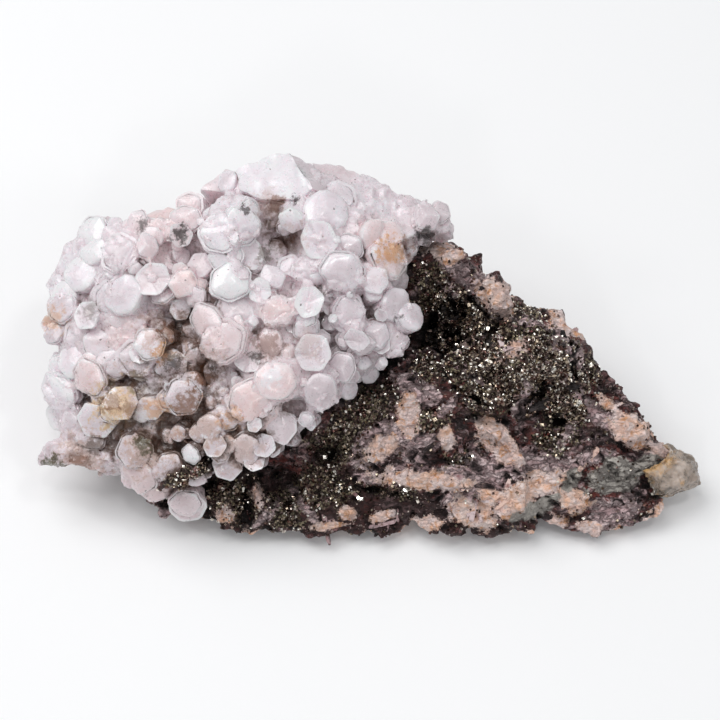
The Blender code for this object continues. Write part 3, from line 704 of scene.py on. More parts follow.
calciteCluster = {
    "moundMiddle": (-18.0, 30.0),
    "moundReach": (31.0, 27.0),
    "footOut": 2.2,
    "grid": 0.55,
    "smoothing": (0.6, 3),
    "sharpOver": 31,
    # displacements: texture, its kind and size, strength, middle level
    "relief": (
        ("sugaryLumps", "CLOUDS", 2.4, 1.5, 0.75), ("sugar", "VORONOI", 1.5, 0.9, 0.5),
        ("crumbs", "CLOUDS", 0.7, 0.45, 0.5),
    ),
    "lumpRelief": (("lumpShape", "CLOUDS", 900, 500, 0.5),),
    "blockRelief": (("breaks", "CLOUDS", 1.6, 1.1, 0.5),),
    "height": 11.2,
    "lumps": (
        (-37, 44, 6, 1.8), (-9, 52, 6.5, 4.4), (0, 45, 7, 3.2), (9.5, 48.8, 3.4, 2.4), (-43, 14, 5, 2.6),
        (-20.5, 47, 4.6, 2.6), (-27.6, 33.4, 3.2, -3.8), (-12.2, 44.6, 2.8, -5), (-22.6, 25.4, 2.8, -2.6),
        (-30, 17, 3.6, -1.4), (-24.6, 43.6, 2.6, -2.2), (-36.4, 24.6, 2.4, -1.2),
    ),
    "leans": 0.62,
    "tilts": 0.19,
    "proud": 1.0,
    "seed": 11,
    "companions": 0.72,
    "smallOnes": 60,
    "gapTries": 900,
    "gapSizes": (2.8, 1.6),
    "gapRoom": 0.72,
    "gapKinds": ("plain", "flat", "rounded", "rounded", "stacked", "broken"),
    "gapField": ((-48, 12), (9, 56)),
    "gapOut": (0.2, 1.2),
    "smallField": ((-48, 13), (8, 57)),
    "smallSizes": (0.5, 1.3),
    "smallRoom": 0.84,
    "smallKinds": ("plain", "flat", "blocky"),
    "besideKinds": ("plain", "stacked", "flat", "rounded"),
    "besideSizes": (0.55, 0.95),
    "besideAway": (0.6, 1.0),
    "besideSunk": (0.7, 1.9),
    # how far the roots reach down: of placed, other and the smallest crystals
    "root": 5.4,
    "smallRoot": 4.4,
    "tinyRoot": 2.2,
    "squeeze": (0.86, 1.12),
    "steepest": 1.3,
    "spread": 0.25,
    # low, lowBelow and fades: painted shade, crystals clearer and so darker towards the bottom
    "clearness": {"all": 0.28, "grey": 0.6, "white": 0.5, "low": 0.34, "lowBelow": 24, "fades": 12},
    "pinkness": (0.45, 0.8),
    # how unlike each other crystals are: pull of the corners, an oval, slope of the top
    "unlike": {"corners": (0.88, 1.06), "oval": (0, 0.1), "slope": (-0.22, 0.22)},
    # across, up, radius, rise, turn in degrees, kind
    "crystals": (
        # left shoulder
        (-42.8, 40.4, 3.3, 0.2, 20, "rounded"), (-40.4, 44, 2.9, 0, 40, "rounded"),
        (-45.4, 37.2, 2.6, 0.2, 10, "rounded"), (-37.6, 46, 2, -0.4, 12, "rounded"),
        (-45.6, 35.6, 2.7, 1.2, 5, "plain"), (-46.8, 31.6, 1.9, 1, 20, "plain"),
        (-42.6, 31.2, 3, 0.4, 48, "stacked"), (-41.2, 34.2, 2.3, 1.8, 12, "flat"),
        (-36.5, 43.6, 3.3, 1.8, 28, "stacked"), (-32, 44.4, 2.1, 1.2, 40, "blocky"),
        (-33.9, 48.2, 2.1, 0.4, 15, "plain"), (-26.6, 48.6, 2.6, 0.4, 25, "plain"),
        (-27.2, 45.8, 1.9, 0.8, 5, "flat"), (-38.6, 38.6, 2.6, 0.6, 30, "stacked"),
        # crown
        (-19.4, 49.9, 3.9, 1.2, 12, "stacked"), (-21.7, 46.1, 3.6, 2.6, 35, "stacked"),
        (-17.8, 47.2, 3.2, 1.8, 5, "plain"), (-17, 43.2, 2.4, 0.8, 50, "flat"),
        (-11, 47.6, 2.2, 1, 20, "broken"), (-5.6, 49.6, 4, 0.6, 33, "rounded"),
        # right flank
        (0.6, 50.4, 3.8, 0.2, 12, "rounded"), (5.2, 48, 3, 0.4, 32, "rounded"),
        (8.8, 49, 2.2, 0.6, 5, "blocky"), (4, 43, 3.5, 1.6, 22, "plain"),
        (-7, 44.8, 3.2, 1.8, 44, "flat"), (-3.2, 40.2, 3.7, 2.6, 8, "plain"),
        (-8.8, 41, 2.7, 1.4, 30, "stacked"), (1.5, 39.3, 2.3, 2, 15, "blocky"),
        (4.6, 35.8, 3.1, 1.8, 38, "rounded"), (-2.2, 34.2, 3, 1.8, 27, "stacked"),
        (-1.3, 30.4, 2, 2.2, 50, "flat"), (1.6, 31.6, 2.4, 0.6, 12, "plain"),
        (-3.6, 26.4, 2.4, 0.4, 33, "plain"), (1.8, 46.2, 3, 0.8, 47, "rounded"),
        # middle
        (-19.7, 39.3, 3.3, 2.8, 26, "plain"), (-26.4, 38.8, 2.4, 2.2, 0, "blocky"),
        (-31.2, 39.5, 2.7, 2, 18, "flat"), (-35.8, 37.2, 3.3, 2.2, 42, "rounded"),
        (-35.3, 33.4, 3.8, 0.8, 10, "stacked"), (-27.3, 34.8, 1.8, 2.4, 36, "flat"),
        (-21, 30.4, 3.8, 3.4, 22, "stacked"), (-19.2, 34.4, 3.3, 1.4, 50, "plain"),
        (-15.6, 37.8, 1.9, 1.6, 14, "flat"), (-13, 34.6, 3, 2.4, 32, "stacked"),
        (-8.3, 36.1, 2.6, 3, 4, "flat"), (-13.6, 40, 2.1, 1.2, 46, "blocky"),
        (-31.6, 30, 2.5, 2.4, 20, "plain"), (-33.6, 27.4, 3.4, 1.2, 34, "stacked"),
        (-39.8, 30.2, 2.6, 0.6, 8, "plain"), (-14, 30, 2.6, 0.8, 40, "rounded"),
        (-7.5, 28.4, 2.9, 1.8, 24, "flat"), (-8.6, 32.2, 2.2, 1, 52, "plain"),
        (-25, 36.6, 1.7, 1.6, 12, "plain"), (-17.2, 27.6, 2, 0.4, 30, "flat"),
        (-24.6, 41.6, 2.2, 1.4, 44, "blocky"),
        # front
        (-6.6, 22.9, 3.4, 1.6, 16, "rounded"), (-12.8, 24.6, 3.6, 2.8, 36, "rounded"),
        (-16.8, 21.4, 3.8, 2.2, 6, "plain"), (-26.6, 22.3, 3, 2.6, 28, "plain"),
        (-23, 17.7, 2.2, 1.4, 44, "rounded"), (-22.2, 15, 2, 1.8, 20, "flat"),
        (-25.7, 13.7, 1.4, 1.6, 0, "plain"), (-27.6, 16.7, 1.5, 1.2, 38, "rounded"),
        (-17.4, 14.4, 2.8, 1.2, 10, "plain"), (-15, 15, 2, 1.4, 48, "flat"),
        (-12.4, 17.7, 2.5, 0.4, 26, "broken"), (-8.8, 18.8, 1.4, 0.2, 5, "stacked"),
        (-20.4, 12, 2.4, 0.2, 32, "broken"), (-20.6, 19, 2.2, 0.4, 14, "plain"),
        # lower left
        (-46.2, 22.4, 3.4, 2.2, 24, "stacked"), (-44.8, 19, 2.7, 1, 50, "stacked"),
        (-41, 24.8, 2.8, 1.8, 12, "plain"), (-43.8, 27.6, 2.8, 0.6, 40, "rounded"),
        (-37.8, 27, 2.2, 0.8, 2, "plain"), (-35.9, 21.4, 2.7, 1.8, 30, "broken"),
        (-31.8, 20.4, 2.2, 0.8, 46, "broken"), (-34.1, 14.2, 3.1, 1.4, 16, "plain"),
        (-34, 9.9, 3.3, 1.6, 34, "plain"), (-40, 18.6, 2.8, 0.4, 28, "broken"),
        (-29, 11.6, 2.6, 0.8, 10, "plain"), (-25.4, 10.2, 2.2, 0.2, 50, "rounded"),
    ),
    # broken white and grey faces of the crown: front corners (across, up, out), depth, tint
    "blocks": (
        (
            ((-18.4, 52.6, 11.2), (-15.5, 51.2, 12.4), (-9.9, 51.2, 12.8), (-7.9, 52.8, 12),
             (-11.5, 58.4, 8.4), (-15.5, 57.6, 8.6), (-19.3, 55.8, 8.8)),
            6.5, (0, 0.5, 0, 1),
        ),
        (
            ((-7.9, 52.8, 12), (-4.6, 51.3, 10), (-4.3, 53.8, 8), (-8.2, 56.9, 7.2), (-11.5, 58.4, 8.4)),
            5.5, (0.75, 0.5, 0, 1),
        ),
        (
            ((-5.6, 53, 7.4), (-1.3, 52.8, 7), (-0.9, 55.2, 5), (-3.9, 56.8, 4.4), (-8, 57, 5)),
            4, (0.6, 0.5, 0.15, 1),
        ),
        (
            ((-24.6, 53, 6.4), (-19.6, 52.4, 8.4), (-18.6, 55, 7.4), (-21, 56.2, 5.4)),
            4, (0.35, 0.5, 0.35, 1),
        ),
        (
            ((-32.4, 45.4, 10.4), (-28.4, 46.6, 10.4), (-26.4, 49.6, 8.6), (-29.6, 50.6, 6.6),
             (-34.2, 48.6, 7.4)),
            3.6, (0.2, 0.5, 0.85, 1),
        ),
        (
            ((-28.6, 46.4, 10), (-25.6, 46.6, 10), (-24.2, 49, 8.8), (-26.6, 49.8, 8.2)),
            3.6, (0.3, 0.5, 0.7, 1),
        ),
    ),
    # where the broken faces leave no room for small crystals: across, up, reach
    "broken": ((-13.5, 54.6, 5.2), (-6.5, 54.6, 3.6), (-30.5, 48.0, 4.4), (-2.5, 54.6, 3.4)),
    # massive parts: across, up, out, half width, half height, half thickness, slant
    "masses": (
        (-0.4, 53.4, 3.6, 3.6, 2.4, 2.6, -12), (2.6, 51.8, 4.4, 3, 2.2, 2.4, -24),
        (0.4, 50, 6, 3.6, 3.4, 3, 0), (3.4, 47.2, 6.4, 3.2, 3, 2.8, 20),
        (-1.6, 46.6, 8.2, 3.6, 2.4, 2.4, 10), (5.4, 50.4, 4, 3, 2.4, 2.6, -30),
        (8.8, 49.2, 3.2, 3, 2.1, 2.4, -16), (11.6, 47.8, 2.6, 2.2, 1.9, 2.2, -30),
        (12, 46.2, 2.2, 1.7, 1.4, 1.8, 0), (-43, 43.4, 2.6, 4.6, 2.9, 3.2, 48),
        (-40.4, 46.8, 2.6, 3.8, 2.6, 3, 36), (-45.6, 39.2, 2.4, 3.6, 2.6, 3, 70),
        (-46.6, 13.4, 3.6, 3.2, 2.3, 2.6, 10), (-42.4, 14.4, 5.4, 3.6, 2.8, 3, 14),
        (-39.2, 13, 6.2, 3.2, 2.6, 2.8, -10), (4.2, 31, 3.4, 2.6, 3.4, 2.4, 8),
        (5.2, 33, 4.2, 2.2, 2.6, 2.2, 0), (-41.6, 28.6, 8.2, 3.4, 2.4, 2.4, 30),
        (-13.2, 17, 9.6, 3.2, 2, 2.2, 10), (-38, 22, 9.6, 3.2, 2.6, 2.4, 0),
    ),
    # parts of the mound that are pinker, greyer or whiter: across, up, reach
    "pinkParts": (
        (-35.7, 31, 3.5), (-26.4, 39, 2.6), (-29.3, 47.4, 5), (-12.8, 24.5, 3.2), (-17, 21.5, 3.4),
        (-21.5, 30.3, 3.4), (-12.7, 34.6, 3), (-41.8, 24.9, 2.4), (-15, 30, 2.6), (2, 44.8, 4),
        (-34, 9, 2.5), (-31, 43, 3),
    ),
    "greyParts": (
        (-6.6, 23.3, 3), (4.8, 33.6, 3.5), (-3.9, 25.4, 2.5), (-35.7, 26.6, 2.2), (-26.7, 22.4, 2.4),
        (-36, 14.8, 2.4), (-21.5, 14.6, 2.4), (-12.8, 16.7, 2.8), (-3, 29.9, 2.5), (9.6, 47.8, 4),
        (-44.2, 13.4, 5), (-45.7, 32.1, 3), (-5.4, 53.7, 3), (-14.3, 47.8, 2.5), (-2.4, 56, 2),
        (-27, 16, 3), (-26.8, 5.6, 3), (-30.6, 26.4, 2.4),
    ),
    "whiteParts": (
        (-43, 43, 4), (-46, 38, 2.5), (2, 50, 2.5), (-12.8, 55.2, 4), (-21.5, 46.9, 4),
        (-19.7, 39.4, 1.6), (-1.2, 41.8, 2.4), (-25.5, 13.4, 1.3), (-46.7, 22.2, 3.2), (-8.4, 36.4, 1.2),
        (-31.5, 30.3, 2.4), (-44.6, 32.4, 1.4),
    ),
}


def calciteFront(across, up):
    mound = calciteCluster
    far = ((across - mound["moundMiddle"][0]) / mound["moundReach"][0]) ** 2
    far += ((up - mound["moundMiddle"][1]) / mound["moundReach"][1]) ** 2
    dome = sqrt(max(0.05, 1 - far))
    return mound["footOut"] + mound["height"] * dome + lumpsAt(mound["lumps"], across, up)


def moundAxis(across, up, reach=1.5):
    # which way a crystal grown there leans
    right = (calciteFront(across - reach, up) - calciteFront(across + reach, up)) / (2 * reach)
    upward = (calciteFront(across, up - reach) - calciteFront(across, up + reach)) / (2 * reach)
    steepest = calciteCluster["steepest"]
    right, upward = [max(-steepest, min(steepest, slope)) for slope in (right, upward)]
    lean = calciteCluster["leans"]
    return Vector((right * lean, upward * lean, 1)).normalized()


def partShare(kind, across, up):
    return max(exp(-(hypot(across - a, up - u) / reach) ** 2) for a, u, reach in calciteCluster[kind])


def crystalTint(across, up, dice, spread=calciteCluster["spread"]):
    # how clear, a chance of its own, how pink
    share = calciteCluster["clearness"]
    clear = share["all"] + share["grey"] * partShare("greyParts", across, up)
    clear -= share["white"] * partShare("whiteParts", across, up)
    # painted shade: below lowBelow the crystals turn clearer, and so darker, towards the bottom
    clear += share["low"] * min(1, max(0, (share["lowBelow"] - up) / share["fades"]))
    pink = partShare("pinkParts", across, up) * dice.uniform(*calciteCluster["pinkness"])
    return (clear + dice.uniform(-spread, spread), dice.random(), pink, 1)


def crystalMatrix(across, up, out, axis, turn, radius, squeeze=1.0):
    turned = axis.to_track_quat("Z", "Y").to_matrix().to_4x4()
    size = Matrix.Diagonal((radius * mm * squeeze, radius * mm, radius * mm, 1))
    return Matrix.Translation(facePoint(across, up, out)) @ layBack @ turned @ spun(turn) @ size


def crystalObject(masters, which, matrix, tint, rootDepth, collection, dice=None):
    # one crystal as its own closed solid, its root drawn down far enough to sit in the mound
    one = dict(masters[which])
    points = one["points"].copy()
    roots = points[:, 2] < -crystalDepth + 0.2
    points[roots, 2] = np.minimum(points[roots, 2], -rootDepth)
    if dice:  # no two are quite alike
        unlike = calciteCluster["unlike"]
        angle = np.arctan2(points[:, 1], points[:, 0])
        corners = [radians(30 + 60 * k) for k in range(6)]
        pulls = [dice.uniform(*unlike["corners"]) for k in range(6)]
        pull = np.interp(angle, corners, pulls, period=2 * pi)
        pull += dice.uniform(*unlike["oval"]) * np.cos(2 * angle - dice.uniform(0, 6.3))
        points[:, :2] *= pull[:, None]
        leaning = np.clip((points[:, 2] + 0.65) / 0.55, 0, 1)
        slope = sum(points[:, side] * dice.uniform(*unlike["slope"]) for side in (0, 1))
        points[:, 2] += leaning * slope
    one["points"] = points
    obj = joinedCopies("crystal", {which: one}, [(which, matrix, tint)])
    bpy.context.scene.collection.objects.unlink(obj)
    collection.objects.link(obj)
    return obj


def lumpMaster():
    # massive calcite without faces of its own
    bpy.ops.object.select_all(action="DESELECT")
    bpy.ops.mesh.primitive_ico_sphere_add(subdivisions=3, radius=1)
    obj = bpy.context.object
    bpy.ops.object.mode_set(mode="EDIT")
    bpy.ops.mesh.select_all(action="SELECT")
    bpy.ops.transform.vertex_random(offset=0.05, seed=4)
    bpy.ops.object.mode_set(mode="OBJECT")
    addRelief(obj, calciteCluster["lumpRelief"])
    applyModifiers(obj)
    growthFrom(obj, lambda spot: (0.45, 0.35))
    return masterOf(obj)


def cleavedBlock(corners, depth, tint, collection):
    # a block with a flat broken front: its front corners are across, up, out
    bpy.ops.object.select_all(action="DESELECT")
    bpy.ops.mesh.primitive_circle_add(vertices=len(corners), radius=1, fill_type="NGON")
    obj = bpy.context.object
    obj.name = "cleavedBlock"
    bpy.ops.object.mode_set(mode="EDIT")
    shape = bmesh.from_edit_mesh(obj.data)
    for vertex, corner in zip(shape.verts, corners):
        vertex.co = facePoint(*corner)
    bmesh.update_edit_mesh(obj.data)
    bpy.ops.mesh.select_all(action="SELECT")
    inward = layBack @ Vector((1.2, -2.4, -depth)) * mm
    bpy.ops.mesh.extrude_region_move(TRANSFORM_OT_translate={"value": inward.to_3d()})
    bpy.ops.transform.resize(value=(1.15, 1.15, 1.15))
    bpy.ops.mesh.select_all(action="SELECT")
    bpy.ops.mesh.normals_make_consistent(inside=False)
    bpy.ops.mesh.quads_convert_to_tris()
    bpy.ops.mesh.subdivide(number_cuts=5)
    bpy.ops.object.mode_set(mode="OBJECT")
    addRelief(obj, calciteCluster["blockRelief"])
    applyModifiers(obj)
    fillLayers(obj, [0.55, 0.1], [tint] * len(obj.data.loops))
    for holder in list(obj.users_collection):
        holder.objects.unlink(obj)
    collection.objects.link(obj)
    return obj


def growCalcite(masters):
    mound = calciteCluster
    dice = Random(mound["seed"])
    grown = newCollection("grownCrystals")
    rest = treeOf(bpy.data.objects["calcite_cluster"])
    for across, up, radius, rise, turn, kind in mound["crystals"]:
        axis = (moundAxis(across, up) + wobble(dice, 1) * mound["tilts"]).normalized()
        out = calciteFront(across, up) + mound["proud"] + rise
        tint = crystalTint(across, up, dice)
        matrix = crystalMatrix(across, up, out, axis, turn, radius, dice.uniform(*mound["squeeze"]))
        root = max(crystalDepth, mound["root"] / radius)
        crystalObject(masters, kind, matrix, tint, root, grown, dice)
        for number in range(2):
            if dice.random() > mound["companions"]:
                continue
            angle = dice.uniform(0, 2 * pi)
            size = radius * dice.uniform(*mound["besideSizes"])
            away = radius * dice.uniform(*mound["besideAway"])
            where = [across + away * cos(angle), up + away * sin(angle)]
            where.append(out - dice.uniform(*mound["besideSunk"]) * (0.5 + radius / 5))
            lean = (axis + wobble(dice, 0.18)).normalized()
            beside = crystalMatrix(*where, lean, turn + dice.uniform(-8, 8), size)
            near = (tint[0] + dice.uniform(-0.15, 0.25), dice.random(), tint[2], 1)
            root = max(crystalDepth, mound["smallRoot"] / size)
            crystalObject(masters, dice.choice(mound["besideKinds"]), beside, near, root, grown, dice)
    massive = [(row[0], row[1], row[2]) for row in mound["crystals"]]
    massive += [(row[0], row[1], 1.1 * min(row[3], row[4])) for row in mound["masses"]]
    massive += mound["broken"]
    taken = list(massive)
    for number in range(mound["gapTries"]):
        size = mound["gapSizes"][0] - mound["gapSizes"][1] * number / mound["gapTries"]
        across, up = [dice.uniform(*ends) for ends in mound["gapField"]]
        if any(hypot(across - a, up - u) < mound["gapRoom"] * (radius + size) for a, u, radius in taken):
            continue
        spot = landOn(rest, across, up)[0]
        if spot is None:
            continue
        taken.append((across, up, size))
        axis = moundAxis(across, up) + wobble(dice, 0.4)
        out = faceCoords(spot).z + dice.uniform(*mound["gapOut"])
        matrix = crystalMatrix(across, up, out, axis.normalized(), dice.uniform(0, 60), size)
        kind, root = dice.choice(mound["gapKinds"]), mound["smallRoot"] / size
        crystalObject(masters, kind, matrix, crystalTint(across, up, dice, 0.35), root, grown, dice)
    for corners, depth, tint in mound["blocks"]:
        cleavedBlock(corners, depth, tint, grown)
    placed = 0
    while placed < mound["smallOnes"]:
        across, up = [dice.uniform(*ends) for ends in mound["smallField"]]
        if any(hypot(across - a, up - u) < mound["smallRoom"] * radius for a, u, radius in massive):
            continue
        spot = landOn(rest, across, up)[0]
        if spot is None:
            continue
        placed += 1
        size = dice.uniform(*mound["smallSizes"])
        axis = moundAxis(across, up) + wobble(dice, 0.6)
        out = faceCoords(spot).z + dice.uniform(0.0, 0.45) * size
        matrix = crystalMatrix(across, up, out, axis.normalized(), dice.uniform(0, 60), size)
        tint = crystalTint(across, up, dice, 0.4)
        kind = dice.choice(mound["smallKinds"])
        crystalObject(masters, kind, matrix, tint, mound["tinyRoot"], grown, dice)
    return grown


def addMasses(base, lump):
    # the massive parts, joined to the base before it is remeshed
    places = []
    for across, up, out, width, height, thickness, slant in calciteCluster["masses"]:
        turned = layBack @ spun(slant) @ sized(width, height, thickness)
        places.append(("lump", Matrix.Translation(facePoint(across, up, out)) @ turned, (0, 0, 0, 1)))
    joinMesh(base, joinedCopies("masses", {"lump": lump}, places))


def buildCalcite(masters, material):
    grown = growCalcite(masters)
    base = mergedCopy("calcite_cluster", "calciteCrystals")
    addMasses(base, masters["lump"])
    addGrid(base, calciteCluster["grid"], *calciteCluster["smoothing"])
    addRelief(base, calciteCluster["relief"])
    applyModifiers(base)
    steady = Random(3)
    spots = [faceCoords(v.co) for v in base.data.vertices]
    tones = [crystalTint(spot.x, spot.y, steady, 0.05) for spot in spots]
    fillLayers(base, [0.5, 1.0], [tones[loop.vertex_index] for loop in base.data.loops])
    joinSolids(base, grown)
    dress(base, material, calciteCluster["sharpOver"])
    addModifier(base, "WEIGHTED_NORMAL", keep_sharp=True)
    applyModifiers(base)
    print("calcite: joined", len(base.data.polygons), "faces")
    return base


lowerCrystal = {
    "places": (  # across, up, out, turn, radius, kind
        (-26.8, 5.6, 7.6, 12, 2.65, "plain"), (-26.5, 5.2, 6.6, 30, 3, "flat"),
        (-27.6, 6.4, 6.9, 20, 1.6, "rounded"),
    ),
    "axis": Vector((0.1, -0.75, 1)).normalized(),
    "tint": (0.75, 0.5, 0.3, 1),
    "sharpOver": 22,
}


def buildLowerCrystal(masters, material):
    lone = None
    helpers = newCollection("lowerSteps")
    for across, up, out, turn, radius, kind in lowerCrystal["places"]:
        matrix = crystalMatrix(across, up, out, lowerCrystal["axis"], turn, radius)
        step = crystalObject(masters, kind, matrix, lowerCrystal["tint"], crystalDepth, helpers)
        lone = lone or step
    helpers.objects.unlink(lone)
    bpy.context.scene.collection.objects.link(lone)
    lone.name = "calciteLowerCrystal"
    joinSolids(lone, helpers)
    dress(lone, material, lowerCrystal["sharpOver"])
    return lone


baryteLook = {
    "shadow": (0.006, 0.004, 0.004),
    "dark": (0.020, 0.009, 0.009),
    "gloom": (0.040, 0.013, 0.012),
    "plum": (0.19, 0.066, 0.062),
    "greyLilac": (0.60, 0.42, 0.43),
    "lilac": (0.90, 0.74, 0.74),
    "peach": (0.97, 0.63, 0.48),
    "pale": (0.98, 0.81, 0.76),
    "orange": (0.72, 0.32, 0.11),
    "hematite": (0.22, 0.045, 0.034),
    "glassy": (0.36, 0.33, 0.30),
    "cloud": (0.60, 0.56, 0.51),
    "brass": (0.52, 0.45, 0.31),
    "tarnish": (0.045, 0.034, 0.028),
}


rockPattern = {
    # two ways that the laths lie, with the size of their pattern, and how long they are drawn
    "laths": (((0.9, 0.3, 0.7), 330.0), ((-0.6, 0.8, -0.9), 380.0)),
    "stretch": (1.0, 3.6, 3.0),
    "bend": 0.0016,
    "fibres": (1300.0, 5.0, 0.72),
    "grains": 3100.0,
    "bump": (0.9, 0.26),
}


def rockMaterial(name, look, metal):
    material, r = newMaterial(name)
    bend = r.vector("SCALE", r.noise(800.0, 3.0).outputs["Color"], rockPattern["bend"])
    bent = r.vector("ADD", r.place, bend)
    patterns = []
    for turn, size in rockPattern["laths"]:
        laths = r.add("Mapping", {"Vector": bent, "Rotation": turn, "Scale": rockPattern["stretch"]})
        patterns.append((
            r.cells(size, laths).outputs["Color"],
            r.cells(size, laths, feature="DISTANCE_TO_EDGE"),
            r.noise(*rockPattern["fibres"], where=laths),
        ))
    region = r.fade(r.noise(170.0, 2.0), 0.47, 0.53)
    chance, edges, fibres = [r.mix(region, *pair) for pair in zip(*patterns)]
    chance, fibres = r.split(chance), r.split(fibres)[0]
    fine = r.noise(1500.0, 4.0, 0.7)
    crack = r.fade(r.plus(edges, r.times(fine, 0.3)), 0.33, 0.22)
    broad = r.noise(420.0, 4.0, 0.65)
    grit = r.noise(3200.0, 3.0, 0.7)
    total = r.plus(r.plus(fine, broad), grit)
    breakup = r.times(r.minus(total, 1.5), 1.5)

    def patch(attribute, low=0.3, high=0.55, ragged=1.0):
        value = r.attribute(attribute)
        return r.fade(r.plus(value, r.times(breakup, ragged)), low, high)

    body = r.mix(r.fade(chance[0], 0.35, 0.95), look["dark"], look["plum"])
    body = r.mix(r.times(r.fade(chance[1], 0.55, 0.85), 0.8), body, look["greyLilac"])
    body = r.layered(body, look, (
        (fibres, 0.5, 0.4, 0.8, "dark"),
        (fibres, 0.57, 0.68, 0.6, "lilac"),
        (r.noise(310.0, 4.0, 0.7), 0.51, 0.62, 0.85, "hematite"),
    ))
    # painted shade: the low ground in these patches turned near black
    body = r.mix(r.times(patch("gloom", 0.3, 0.5), 0.82), body, look["gloom"])
    lilac = r.mix(chance[2], look["greyLilac"], look["lilac"])
    lilac = r.mix(r.fade(fibres, 0.5, 0.38, 0.0, 0.85), lilac, look["plum"])
    body = r.mix(patch("lilac"), body, lilac)
    peach = r.mix(r.fade(r.noise(560.0, 4.0, 0.6), 0.4, 0.6), look["peach"], look["pale"])
    veins = r.noise(700.0, 5.0, 0.7, 0.5)
    peach = r.layered(peach, look, (
        (region, 0.0, 1.0, 0.45, "lilac"),
        (veins, 0.53, 0.63, 0.8, "orange"),
        (fine, 0.6, 0.68, 0.55, "plum"),
        (veins, 0.40, 0.34, 0.5, "plum"),
        (fibres, 0.42, 0.32, 0.6, "plum"),
    ))
    peachy = patch("peach", 0.26, 0.48, 0.85)
    body = r.mix(peachy, body, peach)
    glass = patch("glassy", 0.24, 0.44, 0.7)
    body = r.mix(glass, body, r.mix(r.fade(broad, 0.4, 0.6), look["glassy"], look["cloud"]))
    cracked = r.times(crack, r.fade(peachy, 0.0, 1.0, 0.62, 0.25))
    body = r.mix(cracked, body, look["dark"])
    grain = r.split(r.cells(rockPattern["grains"]).outputs["Color"])
    coat = r.times(patch("drift", 0.4, 0.62), r.fade(grain[2], 0.15, 0.3))
    metalBody = r.mix(r.fade(grain[0], 0.45, 0.9), look["tarnish"], look["brass"])
    body = r.mix(coat, body, metalBody)
    hollows = r.attribute("hollow")
    shade = r.times(r.fade(hollows, 0.3, 0.7, 0.0, 0.95), r.fade(peachy, 0.0, 1.0, 1.0, 0.55))
    body = r.mix(shade, body, look["shadow"])
    r.give("Base Color", body)
    r.give("Metallic", r.times(coat, metal))
    rough = r.minus(r.fade(fine, 0.3, 0.7, 0.45, 0.8), r.times(glass, 0.3))
    r.give("Roughness", r.minus(rough, r.times(coat, 0.3)))
    facets = r.group(facetGroup, Place=r.place, Size=rockPattern["grains"], Amount=coat)
    height = r.plus(chance[0], r.times(r.plus(fine, fibres), 1.2))
    height = r.minus(height, r.times(cracked, 1.2))
    r.bump(height, *rockPattern["bump"], Normal=facets)
    return material


def baryteBladeMaterial(look):
    material, r = newMaterial("baryteBlades")
    along = r.growth()
    tint = r.split(r.attribute("tint", "Color"))
    paleness = tint[1]
    body = r.mix(r.fade(paleness, 0.0, 0.45), look["plum"], look["greyLilac"])
    body = r.mix(r.fade(paleness, 0.45, 0.8), body, look["lilac"])
    body = r.mix(r.times(r.fade(tint[0], 0.35, 0.7), r.fade(paleness, 0.5, 0.8)), body, look["peach"])
    clouds = r.noise(900.0, 4.0, 0.65)
    streaks = r.math("SINE", r.times(along[1], 26.0))
    body = r.layered(body, look, (
        (clouds, 0.5, 0.66, 0.7, "plum"),
        (streaks, 0.4, 1.0, 0.35, "dark"),
        (r.noise(430.0, 4.0, 0.7), 0.54, 0.64, 0.9, "dark"),
        (r.noise(620.0, 3.0, 0.6), 0.6, 0.68, 0.7, "hematite"),
    ))
    r.give("Base Color", body)
    r.give("Roughness", r.fade(clouds, 0.3, 0.7, 0.3, 0.65))
    height = r.plus(r.times(streaks, 0.35), clouds)
    r.bump(height, 0.6, 0.12)
    return material


